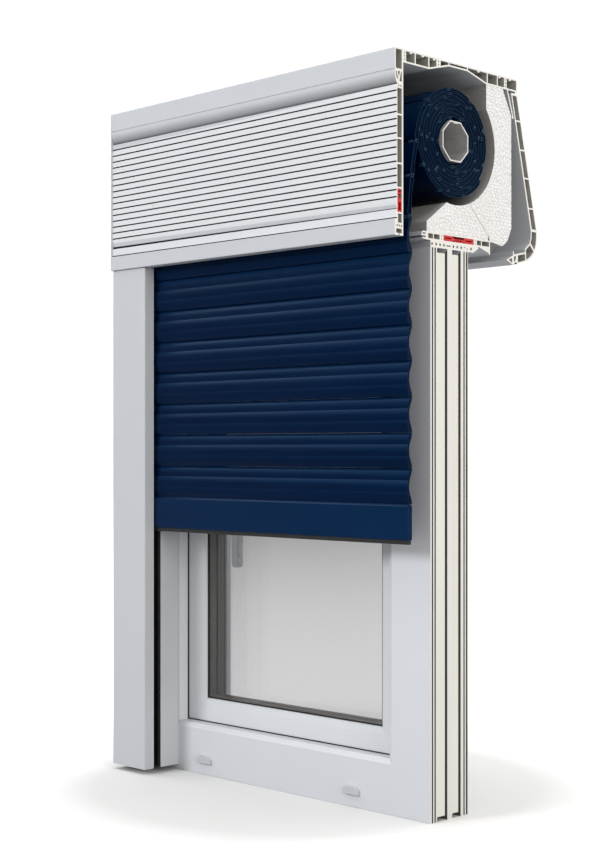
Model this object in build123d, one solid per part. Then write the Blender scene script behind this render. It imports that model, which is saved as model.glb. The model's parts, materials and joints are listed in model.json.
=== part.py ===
from build123d import *
import os
from math import atan2, ceil, cos, pi, radians, sin, sqrt, tan

# A motorised roller shutter box on top of a turn-and-tilt window, sawn open at its right-hand end.
# X runs across the window and is 0 at the sawn end. Y runs into the room from just in front of the rail.
# Z runs up from the foot of the frame. save() moves the origin to the bottom centre of the unit.

# ---- overall sizes -------------------------------------------------------------------------------
UNIT_W = 649.0        # width across the frame
FRAME_H = 845.0       # window frame alone
FRAME_Y = 74.0        # outside face of the frame
FRAME_D = 88.0        # depth of the frame profile
COUPLING_H = 10.0     # strip between frame and box

# ---- shutter roll, which the box is built around -------------------------------------------------
ROLL_R = 81.0         # wound curtain
ROLL_GAP = 14.0       # roll to insulation
ROLL_TOP_ROOM = 36.0  # roll to the top of the box
ROLL_BASE_ROOM = 71.0
ROLL_FRONT_ROOM = 37.5
EPS_T = 42.0          # insulation behind the roll
EPS_BACK_ROOM = 14.0
COVER_OUT = 52.0      # the cover's foot stands this far behind the box top
PANEL_T = 18.5
PANEL_OUT = 5.0       # the panel's outside face stands this far in front of Y = 0
SKIN = 2.4            # wall of the hollow profiles
TOP_T = 19.5
BASE_T = 12.0
GAP = 0.3             # between pieces that slide or turn past each other

# ---- tube and motor ------------------------------------------------------------------------------
TUBE_AF = 60.0        # octagon across flats
TUBE_WALL = 1.8
TUBE_L = 600.0
MOTOR_R = 22.5
MOTOR_L = 380.0
HEAD_L = 22.0
CAP_FLANGE = 2.0      # end cap at the left
CAP_PLUG = 8.0

# ---- curtain -------------------------------------------------------------------------------------
SLAT_PITCH = 52.0
SLAT_T = 12.5
CURTAIN_Y = 27.0      # middle of the curtain
CURTAIN_W = 595.0
END_SLAT_BOTTOM = 410.7
END_SEAL_H = 6.0
END_SLAT_H = 52.3
END_PLUG = 3.0        # the end slat is closed at its right end
RIGID_SLATS = 3       # slats kept as sub-parts of their own

# ---- guide rail ----------------------------------------------------------------------------------
RAIL_W = 85.5
RAIL_Y = -0.5
RAIL_FOOT = 9.0       # the rail ends this far above the frame's foot
SLOT_PLAY = 2.5       # slot wider than a slat
SLOT_DEPTH = 36.5

# ---- window frame and sash -----------------------------------------------------------------------
FACE_W = 84.0         # face of the frame seen from outside
REBATE_W = 62.0       # frame width behind the outside leg
LEG_T = 23.0          # thickness of the outside leg
REBATE_GAP = 12.0     # room for the fittings round the sash
OVERLAP = 8.0         # sash flange over the frame's room face
SEAL_T = 3.0
FLANGE_T = 12.0
SASH_W = 49.0         # sash from its edge to the glass
BITE = 18.0           # glass held by the sash
PANE_T = 4.0
BEAD_W = 22.5         # glazing bead, seen from above
BEAD_SEAL = 1.5
GLASS_SETBACK = 10.0  # sash face to glass
HANDLE_Z = 460.0
LEVER_L = 122.0
LEVER_REACH = 54.0    # lever in front of the sash
TILT_R = 6.5          # barrel of the corner hinge

# ---- worked-out places ---------------------------------------------------------------------------
X0 = -UNIT_W
BOX_Z = FRAME_H + COUPLING_H
SHAFT_DROP = ROLL_TOP_ROOM + ROLL_R
PANEL_H = SHAFT_DROP + ROLL_R + ROLL_BASE_ROOM
BOX_TOP = BOX_Z + PANEL_H
PANEL_BACK = PANEL_T - PANEL_OUT
SHAFT_Y = PANEL_BACK + ROLL_FRONT_ROOM + ROLL_R
SHAFT_Z = BOX_TOP - SHAFT_DROP
EPS_R = ROLL_R + ROLL_GAP
EPS_BACK = SHAFT_Y + EPS_R + EPS_T
BOX_D = EPS_BACK + EPS_BACK_ROOM
COVER_BACK = BOX_D + COVER_OUT
UNIT_D = PANEL_OUT + COVER_BACK
BASE_TOP = BOX_Z + BASE_T
CAP_X = X0 + CAP_FLANGE
PLUG_X = CAP_X + CAP_PLUG
FRAME_BACK = FRAME_Y + FRAME_D
LEG_BACK = FRAME_Y + LEG_T
SASH_Y = LEG_BACK + 2.0
SASH_EDGE = REBATE_W + REBATE_GAP
GLASS_EDGE = SASH_EDGE + SASH_W
FLANGE_EDGE = REBATE_W - OVERLAP
FLANGE_Y = FRAME_BACK + SEAL_T
SASH_BACK = FLANGE_Y + FLANGE_T
POCKET = GLASS_EDGE - BITE
PANE_Y = SASH_Y + GLASS_SETBACK
BEAD_Y = SASH_BACK - BEAD_W
GLASS_T = BEAD_Y - BEAD_SEAL - PANE_Y
PANE_GAP = (GLASS_T - 3 * PANE_T) / 2
LOCK_Y = LEG_BACK + 0.615 * (FRAME_BACK - LEG_BACK)
HINGE_X = -(FLANGE_EDGE - OVERLAP)
HINGE_Y = FRAME_BACK + OVERLAP
TILT_Z = FLANGE_EDGE - OVERLAP
HANDLE_X = X0 + (FLANGE_EDGE + POCKET) / 2
SLAT_Z = END_SLAT_BOTTOM + END_SEAL_H + END_SLAT_H
HANGING_SLATS = ceil((BOX_Z + 4 - SLAT_Z) / SLAT_PITCH)
RAIL_RIGHT = X0 + RAIL_W
SLOT_END = RAIL_RIGHT - SLOT_DEPTH
SLOT_W = SLAT_T + SLOT_PLAY
SLOT_Y = CURTAIN_Y - SLOT_W / 2


# ---- drawing helpers -----------------------------------------------------------------------------
def outline(*corners):
    """A closed face through the corners (a, b) or (a, b, radius of the rounding there)."""
    marks = []
    for i, corner in enumerate(corners):
        here = Vector(corner[0], corner[1])
        if len(corner) == 2:
            marks.append((here, None, here))
            continue
        before = (Vector(*corners[i - 1][:2]) - here).normalized()
        after = (Vector(*corners[(i + 1) % len(corners)][:2]) - here).normalized()
        half = radians(before.get_angle(after)) / 2
        reach = corner[2] / tan(half)
        centre = here + (before + after).normalized() * (corner[2] / sin(half))
        middle = centre - (before + after).normalized() * corner[2]
        marks.append((here + before * reach, middle, here + after * reach))
    edges = []
    for i, (start, middle, end) in enumerate(marks):
        if middle is not None:
            edges.append(ThreePointArc(start, middle, end))
        following = marks[(i + 1) % len(marks)][0]
        if (following - end).length > 1e-6:
            edges.append(Line(end, following))
    return make_face(edges)


def rect(a0, b0, a1, b1):
    """An upright rectangle between two corners."""
    return Pos((a0 + a1) / 2, (b0 + b1) / 2) * Rectangle(abs(a1 - a0), abs(b1 - b0))


def along_x(face, x0, x1):
    """A section drawn in (Y, Z) run from x0 to x1."""
    return extrude(Plane.YZ.offset(x0) * face, x1 - x0)


def along_y(face, y0, y1):
    """A shape drawn in (X, Z) run from y0 to y1."""
    return extrude(Plane.XZ.offset(-y0) * face, y0 - y1)


def along_z(face, z0, z1):
    """A section drawn in (X, Y) run from z0 to z1."""
    return extrude(Plane.XY.offset(z0) * face, z1 - z0)


def block(x0, x1, y0, y1, z0, z1):
    """A plain block between its limits."""
    return along_z(rect(x0, y0, x1, y1), z0, z1)


def rod_x(y, z, radius, x0, x1):
    """A round bar along X."""
    return along_x(Pos(y, z) * Circle(radius), x0, x1)


def rod_z(x, y, radius, z0, z1):
    """A round bar along Z."""
    return along_z(Pos(x, y) * Circle(radius), z0, z1)


def save(name, *solids):
    """Write one sub-part, with the origin moved to the bottom centre of the whole unit."""
    place = Pos(UNIT_W / 2, PANEL_OUT - UNIT_D / 2, 0)
    pieces = [piece for shape in solids for piece in shape.solids()]
    moved = [place * piece for piece in pieces]
    export_step(moved[0] if len(moved) == 1 else Compound(moved), f"parts/{name}.step")
    print(name, len(moved), round(sum(piece.volume for piece in moved) / 1000, 1), "cm3")


# ---- shutter box ---------------------------------------------------------------------------------
RIB_PITCH = 10.15
RIB_FIRST = 62.2      # first groove below the top
RIB_COUNT = 16
RIB_DEEP = 1.9
RIB_WIDE = 2.2
RIB_FACE = 2.6        # ribs stand this far behind the flat bands
LIP_TOP = 31.0
LIP_FOOT = 52.0
LIP_IN = 7.0          # depth of the cove under the lip
FOOT_BAND = 24.0      # flat band along the panel's foot
SWELL_IN = 3.0
CHAMBER_OUT = RIB_FACE + RIB_DEEP + 1.3
CHAMBER_IN = PANEL_T - 3.2
INSERT_H = 33.5       # chamber of the steel-free stiffener
INSERT_DROP = 202.0


def dots(spots, size):
    """Small square chambers at the given centres."""
    return [Pos(a, b) * Rectangle(size, size) for a, b in spots]


def front_panel():
    """Ribbed outside wall of the box, as a hollow section."""
    swell_top = RIB_FIRST + (RIB_COUNT - 1) * RIB_PITCH + 2.5
    band_top = PANEL_H - FOOT_BAND
    swell_foot = band_top - 14.0
    edge = [(PANEL_T, 0), (0, 0, 2.0), (0, LIP_TOP - 0.6), (1.1, LIP_TOP), (0, LIP_TOP + 0.6)]
    for step in range(1, 7):
        turn = radians(15 * step)
        edge.append((LIP_IN * (1 - cos(turn)), LIP_TOP + 0.6 + (LIP_FOOT - LIP_TOP - 0.6) * sin(turn)))
    edge.append((RIB_FACE, LIP_FOOT + 1.4))
    for groove in range(RIB_COUNT):
        drop = RIB_FIRST + groove * RIB_PITCH
        edge.append((RIB_FACE, drop - RIB_WIDE / 2))
        edge.append((RIB_FACE + RIB_DEEP, drop - RIB_WIDE / 2 + 0.3))
        edge.append((RIB_FACE + RIB_DEEP, drop + RIB_WIDE / 2 - 0.3))
        edge.append((RIB_FACE, drop + RIB_WIDE / 2))
    edge.append((RIB_FACE, swell_top))
    for step in range(1, 6):
        turn = radians(18 * step)
        edge.append((RIB_FACE + SWELL_IN * (1 - cos(turn)), swell_top + (swell_foot - swell_top) * sin(turn)))
    edge += [(RIB_FACE, swell_foot + 1.0), (RIB_FACE, band_top - 1.6), (RIB_FACE + 2.6, band_top - 1.4)]
    edge += [(RIB_FACE + 2.6, band_top + 0.2), (0, band_top + 0.4), (0, PANEL_H, 1.5), (PANEL_T, PANEL_H)]
    face = outline(*edge)
    webs = [LIP_FOOT + 6, 97.0, 131.0, 167.0, INSERT_DROP]
    chambers = [rect(SKIN, SKIN, CHAMBER_IN, LIP_TOP - 1)]
    for top, foot in zip(webs, webs[1:]):
        chambers.append(rect(CHAMBER_OUT, top, CHAMBER_IN, foot - SKIN))
    chambers.append(rect(CHAMBER_OUT, INSERT_DROP, CHAMBER_IN, INSERT_DROP + INSERT_H))
    chambers.append(rect(CHAMBER_OUT + 1.4, INSERT_DROP + INSERT_H + SKIN, CHAMBER_IN, PANEL_H - 18.2))
    chambers.append(rect(SKIN + 1, PANEL_H - 9.6, CHAMBER_IN, PANEL_H - 3.4))
    chambers.append(rect(8.4, PANEL_H - 4, 10.6, PANEL_H + 1))
    chambers.append(outline((2.4, LIP_TOP + 3), (4.2, LIP_TOP + 3), (7.6, LIP_TOP + 15), (4.2, LIP_TOP + 13)))
    chambers.append(outline((6.6, LIP_TOP + 3), (11.4, LIP_TOP + 3), (9.0, LIP_TOP + 11)))
    chambers.append(outline((13.6, LIP_TOP + 3), (CHAMBER_IN, LIP_TOP + 3), (CHAMBER_IN, LIP_TOP + 17),
                            (10.4, LIP_TOP + 17)))
    chambers += dots([(9.0, LIP_FOOT + 2.4), (13.4, LIP_FOOT + 2.4)], 2.4)
    chambers += dots([(5.4, PANEL_H - 14.4), (10.0, PANEL_H - 14.0), (14.4, PANEL_H - 13.6)], 2.6)
    for chamber in chambers:
        face -= chamber
    return along_x(drop_to_z(Pos(-PANEL_OUT, 0) * face), CAP_X, 0)


def drop_to_z(face):
    """Turn a section drawn as (Y, distance below the box top) into (Y, Z)."""
    return Pos(0, BOX_TOP) * mirror(face, Plane.XZ)


def front_insert():
    """Red stiffener in the front panel's chamber."""
    y0 = CHAMBER_OUT - PANEL_OUT + 0.2
    y1 = CHAMBER_IN - PANEL_OUT - 0.2
    top = INSERT_DROP + 0.3
    foot = INSERT_DROP + INSERT_H - 0.3
    face = rect(y0, top, y1, foot)
    middle = (top + foot) / 2
    face -= rect(y0 + 2.2, top + 2.2, y1, top + 5.2)
    face -= rect(y0 + 2.2, top + 7.4, y1, middle - 2.6)
    face -= rect(y0 + 2.2, middle + 2.6, y1 - 1.6, foot - 2.2)
    return along_x(drop_to_z(face), CAP_X + 1, 0)


KEY_PITCH = 26.0      # plaster keys along the top
KEY_FIRST = 30.6
KEY_W = 3.0
KEY_DEEP = 1.8
ROOF_T = 7.6          # where the roof is thinnest, over the roll
ROOF_FROM = SHAFT_Y - 15.0
ROOF_TO = SHAFT_Y + 28.0
ROOF_SLOPE = 46.0
EPS_IN = SHAFT_Y + EPS_R - 21.0
LEG_FOOT_DROP = 62.0
ROOF_BENDS = (ROOF_FROM - ROOF_SLOPE, ROOF_FROM, ROOF_TO, ROOF_TO + ROOF_SLOPE)
TOP_WALLS = ((PANEL_BACK + 0.1, PANEL_BACK + 6.4), (38.8, 41.2), (69.2, 71.8), (87.6, 97.5),
             (ROOF_FROM - 1.2, ROOF_FROM + 1.2), (ROOF_TO - 1.2, ROOF_TO + 1.2), (EPS_IN + 1.0, EPS_IN + 3.4),
             (EPS_IN + 26.0, EPS_IN + 28.4), (EPS_IN + 44.0, EPS_IN + 50.5), (BOX_D - SKIN, BOX_D))


def top_depth(y):
    """Thickness of the top profile at a place between front and back."""
    if y <= ROOF_FROM - ROOF_SLOPE or y >= ROOF_TO + ROOF_SLOPE:
        return TOP_T
    if ROOF_FROM <= y <= ROOF_TO:
        return ROOF_T
    away = ROOF_FROM - y if y < ROOF_FROM else y - ROOF_TO
    return ROOF_T + (TOP_T - ROOF_T) * away / ROOF_SLOPE


def top_profile():
    """Hollow top of the box, with plaster keys and the leg that the cover clips to."""
    y0, y1 = PANEL_BACK, BOX_D
    corners = [(y0, 0), (y0, TOP_T)]
    corners += [(ROOF_FROM - ROOF_SLOPE, TOP_T), (ROOF_FROM, ROOF_T)]
    corners += [(ROOF_TO, ROOF_T), (ROOF_TO + ROOF_SLOPE, TOP_T)]
    leg_y = EPS_BACK - 12.0
    corners += [(leg_y, TOP_T), (EPS_BACK + 1.0, LEG_FOOT_DROP - 5), (EPS_BACK + 1.0, LEG_FOOT_DROP)]
    corners += [(EPS_BACK + 5.0, LEG_FOOT_DROP), (EPS_BACK + 3.4, LEG_FOOT_DROP - 6), (leg_y + 2.6, TOP_T)]
    corners += [(y1, TOP_T), (y1, 0, 3.0)]
    face = outline(*corners)
    keys = []
    place = KEY_FIRST
    while place < y1 - 10:
        keys.append(place)
        place += KEY_PITCH
    for start, end in zip(TOP_WALLS, TOP_WALLS[1:]):
        left, right = start[1], end[0]
        bends = [left, *(bend for bend in ROOF_BENDS if left < bend < right), right]
        corners = [(bend, top_depth(bend) - SKIN) for bend in bends]
        lid = [(right, SKIN)]
        for key in reversed(keys):
            if left + 4 < key < right - 4 and top_depth(key) > TOP_T - 6:
                lid += [(key + 3, SKIN), (key + 1.8, SKIN + 2.4), (key - 1.8, SKIN + 2.4), (key - 3, SKIN)]
        face -= outline(*corners, *lid, (left, SKIN))
    for key in keys:
        face -= rect(key - KEY_W / 2, -1, key + KEY_W / 2, KEY_DEEP)
    for left, right in ((y0 + 0.1, y0 + 6.4), (EPS_IN + 44.0, EPS_IN + 50.5)):
        for hole in dots([((left + right) / 2, drop) for drop in (5.0, 9.8, 14.6)], 2.0):
            face -= hole
    for hole in dots([(92.5, drop) for drop in (4.6, 9.4)], 2.0):
        face -= hole
    tongue = EPS_IN + 15.0
    face += rect(tongue, TOP_T - 0.5, tongue + 2, TOP_T + 6)
    return along_x(drop_to_z(face), CAP_X, 0)


RED_FROM = 105.0
RED_TO = 174.0
RED_T = 8.2


def base_profile():
    """Hollow floor of the box, with its front hook and the sloping lip behind the window."""
    foot = BOX_Z
    back = EPS_IN + 9.0
    face = outline((66, foot), (66, BASE_TOP), (back, BASE_TOP), (back, foot - 9.5), (back - 2.4, foot - 9.5),
                   (back - 3.2, foot - 7.2), (back - 27, foot))
    hook = outline((66.4, foot), (66.4, BASE_TOP), (56, BASE_TOP, 3), (53.5, foot + 6, 1.5),
                   (56, foot + 1, 1.5))
    face += hook
    face -= rect(56.5, BASE_TOP - 4.4, 63.2, BASE_TOP - 2.4)
    face -= rect(50, foot + 2.8, 63.2, foot + 5.2)
    face -= rect(69, foot + SKIN, 80, foot + BASE_T - SKIN)
    face -= rect(82, foot + SKIN, 95, foot + BASE_T - SKIN)
    face -= rect(RED_FROM - 1, foot + 1.8, RED_TO + 1, foot + BASE_T - 1.8)
    face -= rect(RED_TO + 9, foot + SKIN, RED_TO + 19, foot + BASE_T - SKIN)
    face -= rect(RED_TO + 21, foot + SKIN, back - SKIN, foot + BASE_T - SKIN)
    for centre in (99.5, RED_TO + 5):
        for hole in dots([(centre, foot + 3.8), (centre, foot + 8.2)], 1.8):
            face -= hole
    return along_x(face, CAP_X, 0)


def base_insert():
    """Red stiffener with a waved section, in the floor's middle chamber."""
    z0 = BOX_Z + 1.8 + 0.1
    z1 = z0 + RED_T
    a, b = RED_FROM, RED_TO
    third = (b - a) / 3
    corners = [(a, z0, 1), (a + third - 4, z0), (a + third - 1, z0 + 2.4), (a + third + 2, z0)]
    corners += [(b - third - 2, z0), (b - third + 1, z0 + 2.4), (b - third + 4, z0), (b, z0, 1), (b, z1, 1)]
    corners += [(b - third + 4, z1), (b - third, z1 - 3.4), (a + third, z1 - 3.4), (a + third - 4, z1)]
    corners += [(a, z1, 1)]
    face = outline(*corners)
    face -= rect(a + 3, z0 + 3.4, a + third - 5, z0 + 5.4)
    face -= rect(b - third + 5, z0 + 3.0, b - 3, z0 + 5.0)
    face -= rect(a + third + 3, z0 + 1.6, b - third - 3, z0 + 3.2)
    return along_x(face, CAP_X + 1, 0)


def coupling_strip():
    """Clip strip between the frame and the box, with a row of small chambers."""
    z0, z1 = FRAME_H, BOX_Z
    y0, y1 = FRAME_Y + GAP, FRAME_BACK + 24
    face = outline((y0, z0), (FRAME_BACK + 12, z0), (y1, z1 - 3), (y1, z1), (y0, z1))
    spots = [FRAME_Y + FRAME_D * share for share in (0.043, 0.147, 0.25, 0.353, 0.601, 0.705, 0.808, 1.077)]
    for hole in dots([(spot, (z0 + z1) / 2) for spot in spots], 3.6):
        face -= hole
    face -= rect(FRAME_Y + 0.415 * FRAME_D, z0 + 4.0, FRAME_Y + 0.528 * FRAME_D, z0 + 5.6)
    for hole in dots([(FRAME_Y + 0.903 * FRAME_D, z0 + 6), (FRAME_Y + 0.966 * FRAME_D, z0 + 4)], 2.0):
        face -= hole
    return along_x(face, CAP_X, 0)


def arc_points(radius, start, end, count):
    """Points round the shaft from one angle to another, in degrees from +Y towards +Z."""
    turns = [radians(start + (end - start) * step / count) for step in range(count + 1)]
    return [(SHAFT_Y + radius * cos(turn), SHAFT_Z + radius * sin(turn)) for turn in turns]


EPS_JOINT_TURN = -69.5   # where the two insulation pieces meet, seen from the shaft
EPS_NOSE_Y = 66.0
EPS_NOSE_H = 15.0


def eps_rear_shell():
    """Upper and rear insulation, hollowed to the roll."""
    top = BOX_TOP - TOP_T
    lift = degrees_at(EPS_IN)
    inner = arc_points(EPS_R, EPS_JOINT_TURN, lift, 14)
    corners = [(EPS_IN, top), (EPS_BACK - 22, top), (EPS_BACK - 0.5, BOX_TOP - 59)]
    corners += [(EPS_BACK, BASE_TOP + 24, 10), (EPS_BACK - 10, BASE_TOP + 4, 8)]
    corners += [(EPS_BACK - 22, BASE_TOP - 5.5, 2)]
    corners += [(EPS_IN + 10, BASE_TOP - 1.5), (EPS_IN + 6, BASE_TOP + 7)]
    corners += inner
    face = outline(*corners)
    face -= rect(EPS_IN + 14.8, top - 7, EPS_IN + 17.2, top + 1)
    return along_x(face, PLUG_X, 0)


def degrees_at(y):
    """Angle from the shaft at which the insulation's hollow reaches a given depth."""
    return atan2(sqrt(EPS_R ** 2 - (y - SHAFT_Y) ** 2), y - SHAFT_Y) * 180 / pi


def eps_lower_block():
    """Lower front insulation, on the floor of the box."""
    turn = -degrees_at(SHAFT_Y - 20)
    corners = [(EPS_NOSE_Y, BASE_TOP), (EPS_IN + 5, BASE_TOP), (EPS_IN + 5, BASE_TOP + 7)]
    corners += arc_points(EPS_R, EPS_JOINT_TURN - 0.5, turn, 6)
    corners += [(EPS_NOSE_Y, BASE_TOP + EPS_NOSE_H)]
    return along_x(outline(*corners), PLUG_X, 0)


COVER_T = 15.5
COVER_FOOT = 38.0     # the slanting wall ends this far above the box foot
CORNER_R = 40.0
CORNER_DROP = 6.0     # where wall and underside would meet, below the box foot
BEAD_R = 1.9          # round bead that the cover swings on
BEAD_IN = 4.0


def cover_line(z, inset):
    """The cover's slanting wall at a height, moved in from its outside face."""
    top, foot = BOX_TOP - TOP_T - 3.0, BOX_Z + COVER_FOOT
    return BOX_D + COVER_OUT * (top - z) / (top - foot) - inset


def corner_arc(inset, *turns):
    """Points inside the cover's round corner, at angles in degrees below level."""
    y, z = COVER_BACK - CORNER_R, BOX_Z - CORNER_DROP + CORNER_R * 0.82
    radius = CORNER_R - inset
    return [(y + radius * cos(radians(turn)), z - radius * sin(radians(turn))) for turn in turns]


def from_foot(*spots):
    """Points given from the cover's back face and the foot of the box."""
    return [(COVER_BACK - spot[0], BOX_Z + spot[1], *spot[2:]) for spot in spots]


def cover_corner():
    """Chambers of the cover's round corner and hook, from the wall down to the hook."""
    wall = COVER_T + 1 - SKIN
    upper = [(COVER_BACK - SKIN, BOX_Z + COVER_FOOT - 2), *corner_arc(SKIN, 0, 16, 30)]
    upper += from_foot((16.9, 18.4), (wall, 27.0), (wall, COVER_FOOT - 2))
    middle = [*corner_arc(SKIN, 35, 47, 60, 72), *from_foot((29.1, 6.2), (18.6, 14.8))]
    lower = from_foot((31.0, -10.4), (49.8, -15.0), (49.8, -4.2), (31.0, -0.4))
    small = from_foot((60.0, -6.8), (60.0, -15.5), (55.5, -12.2), (54.6, -5.6))
    hook = from_foot((73.2, -13.1), (64.6, -9.0), (64.4, -16.9))
    return [outline(*shape) for shape in (upper, middle, lower, small, hook)]


def inspection_cover():
    """Hollow cover on the room side, which swings from its top clip."""
    top, foot = BOX_TOP - TOP_T - 3.0, BOX_Z + COVER_FOOT
    corners = [(BOX_D, top, 1.5), (COVER_BACK, foot), (COVER_BACK, BOX_Z - CORNER_DROP, CORNER_R)]
    corners += from_foot((50.0, -17.6), (52.4, -17.6), (54.5, -14.5), (62.0, -20.2), (78.5, -13.9))
    corners += from_foot((78.5, -13.0), (62.6, -5.6), (62.6, 1.4), (60.2, 1.4), (60.2, -3.6), (31.5, 2.2))
    corners += from_foot((31.5, 7.6))
    corners += from_foot((19.5, 17.2, 8.0), (COVER_T + 1, 27.0), (COVER_T + 1, COVER_FOOT))
    corners += [(BOX_D - COVER_T, top)]
    face = outline(*corners)
    webs = [top - SKIN, BOX_TOP - 64, BOX_TOP - 108, BOX_TOP - 151, BOX_TOP - 197, foot + 1]
    for high, lower in zip(webs, webs[1:]):
        high, lower = high - SKIN / 2, lower + SKIN / 2
        face -= outline((cover_line(high, SKIN), high), (cover_line(lower, SKIN), lower),
                        (cover_line(lower, COVER_T - SKIN), lower), (cover_line(high, COVER_T - SKIN), high))
    for chamber in cover_corner():
        face -= chamber
    bead = Pos(BOX_D - BEAD_IN, BOX_TOP - TOP_T - BEAD_R - 0.1) * Circle(BEAD_R)
    return along_x(face + bead, CAP_X + GAP, 0)


def cover_seal():
    """Soft bead in the notch under the cover's hook."""
    face = outline(*from_foot((53.0, -18.2), (54.6, -15.4), (58.2, -18.2)))
    return along_x(face, CAP_X + GAP, 0)


def box_end_cap():
    """Left end cap: a thin flange over the whole section and a plug that fills the box."""
    foot = BOX_Z + COVER_FOOT
    low = BOX_Z - 0.1
    edge = [(-PANEL_OUT, low), (-PANEL_OUT, BOX_TOP, 2), (BOX_D, BOX_TOP, 3), (BOX_D, BOX_TOP - TOP_T - 3)]
    edge += [(COVER_BACK, foot), (COVER_BACK, BOX_Z - CORNER_DROP, CORNER_R)]
    edge += from_foot((50.0, -17.4), (62.0, -20.0), (78.5, -13.5))
    edge += [(FRAME_BACK + 24, low)]
    plug = outline((PANEL_BACK + 0.1, BASE_TOP + 6), (PANEL_BACK + 0.1, BOX_TOP - TOP_T),
                   (EPS_IN + 12, BOX_TOP - TOP_T), (EPS_IN + 12, BASE_TOP + 0.1), (66, BASE_TOP + 0.1))
    return along_x(outline(*edge), X0, CAP_X) + along_x(plug, CAP_X, PLUG_X)


# ---- tube, motor and roll ------------------------------------------------------------------------
BRACKET_T = 5.0
ROLL_X = X0 + 40.0    # left end of the wound curtain
SHAFT_R = 6.0         # motor's output shaft
BEARING_L = 14.0
ADAPTER_L = 14.0
ROLL_RECESS = 4.0     # the tube stands this far out of the roll
LINK_W = 22.0
LINK_T = 1.6
LINK_L = 34.0


def octagon(across):
    """Octagon centred on the shaft, flats level and upright."""
    return Pos(SHAFT_Y, SHAFT_Z) * Rot(0, 0, 22.5) * RegularPolygon(across / 2, 8, major_radius=False)


def octagon_tube():
    """Rolled steel winding tube with its lock seam along the top flat."""
    seam = rect(SHAFT_Y - 4, SHAFT_Z + TUBE_AF / 2 - 4.2, SHAFT_Y + 4, SHAFT_Z + TUBE_AF / 2 - TUBE_WALL + 0.2)
    return along_x(octagon(TUBE_AF) - octagon(TUBE_AF - 2 * TUBE_WALL) + seam, -TUBE_L, 0)


def motor_bracket():
    """Plate that holds the motor's head on the end cap."""
    face = Pos(SHAFT_Y, SHAFT_Z) * RectangleRounded(96, 62, 8)
    for side in (-1, 1):
        face -= Pos(SHAFT_Y + side * 38, SHAFT_Z) * Circle(3.2)
    return along_x(face, PLUG_X, PLUG_X + BRACKET_T)


def bracket_screws():
    """Two screws through the motor bracket."""
    found = []
    for side in (-1, 1):
        y = SHAFT_Y + side * 38
        shank = rod_x(y, SHAFT_Z, 3.0, PLUG_X, PLUG_X + BRACKET_T)
        found.append(shank + rod_x(y, SHAFT_Z, 5.5, PLUG_X + BRACKET_T, PLUG_X + BRACKET_T + 3))
    return found


def motor_head():
    """Fixed head of the tubular motor, with its cable inlet and two limit adjusters."""
    x0 = PLUG_X + BRACKET_T
    head = rod_x(SHAFT_Y, SHAFT_Z, 23.5, x0, x0 + HEAD_L)
    inlet = rod_x(SHAFT_Y + 14, SHAFT_Z - 9, 4.2, x0 + HEAD_L - 8, x0 + HEAD_L)
    for side in (-1, 1):
        head -= rod_x(SHAFT_Y + side * 9, SHAFT_Z + 12, 2.5, x0 + HEAD_L - 6, x0 + HEAD_L)
    return head - inlet


def motor_body():
    """Motor, gearbox and brake in one steel tube, with the bearing of the output shaft at its far end."""
    x0 = PLUG_X + BRACKET_T + HEAD_L
    x1 = x0 + MOTOR_L
    tube = rod_x(SHAFT_Y, SHAFT_Z, MOTOR_R, x0, x1)
    return tube - rod_x(SHAFT_Y, SHAFT_Z, SHAFT_R + GAP, x1 - BEARING_L, x1)


def seam_notch():
    """Room for the tube's lock seam in what fits inside the tube."""
    return rect(SHAFT_Y - 5, SHAFT_Z + TUBE_AF / 2 - 5, SHAFT_Y + 5, SHAFT_Z + TUBE_AF / 2)


def limit_crown():
    """Octagonal ring that turns on the motor's head end and drives the limit counter."""
    x0 = -TUBE_L + 2
    face = octagon(TUBE_AF - 2 * TUBE_WALL - 0.2) - seam_notch()
    return along_x(face - Pos(SHAFT_Y, SHAFT_Z) * Circle(MOTOR_R + GAP), x0, x0 + 14)


def drive_adapter():
    """Octagonal wheel on the motor's output shaft, which turns the tube."""
    x0 = PLUG_X + BRACKET_T + HEAD_L + MOTOR_L + 1
    wheel = along_x(octagon(TUBE_AF - 2 * TUBE_WALL - 0.2) - seam_notch(), x0, x0 + ADAPTER_L)
    shaft = rod_x(SHAFT_Y, SHAFT_Z, SHAFT_R, x0 - BEARING_L, x0 + ADAPTER_L + 4)
    return wheel + shaft


def link_places():
    """Where the curtain's hangers sit along the tube."""
    return [ROLL_X + 60 + step * (TUBE_L - 150) / 2 for step in range(3)]


def wound_curtain():
    """The wound part of the curtain as one closed ring with pockets for the hangers."""
    roll = along_x(Pos(SHAFT_Y, SHAFT_Z) * Circle(ROLL_R) - octagon(TUBE_AF + GAP), ROLL_X, -ROLL_RECESS)
    flat = SHAFT_Z - TUBE_AF / 2
    for x in link_places():
        along, across = LINK_W / 2 + 1, LINK_L / 2 + 1
        roll -= block(x - along, x + along, SHAFT_Y - across, SHAFT_Y + across, flat - LINK_T - 1.2, flat + 1)
    return roll


def hanger_links():
    """Spring-steel hangers that tie the first slat to the tube's lower flat."""
    flat = SHAFT_Z - TUBE_AF / 2
    return [block(x - LINK_W / 2, x + LINK_W / 2, SHAFT_Y - 12, SHAFT_Y + 12, flat - LINK_T, flat)
            for x in link_places()]


# ---- curtain -------------------------------------------------------------------------------------
def slat(z):
    """One slat from its foot at z, cut a little short of the pitch."""
    half = SLAT_T / 2
    low, high = z + GAP, z + SLAT_PITCH - GAP
    face = outline((CURTAIN_Y - 2.5, low), (CURTAIN_Y + 2.5, low), (CURTAIN_Y + half, low + 9),
                   (CURTAIN_Y + half, high - 9), (CURTAIN_Y + 2.5, high), (CURTAIN_Y - 2.5, high),
                   (CURTAIN_Y - half, high - 9), (CURTAIN_Y - half, low + 9))
    return along_x(face, -CURTAIN_W, 0)


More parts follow.
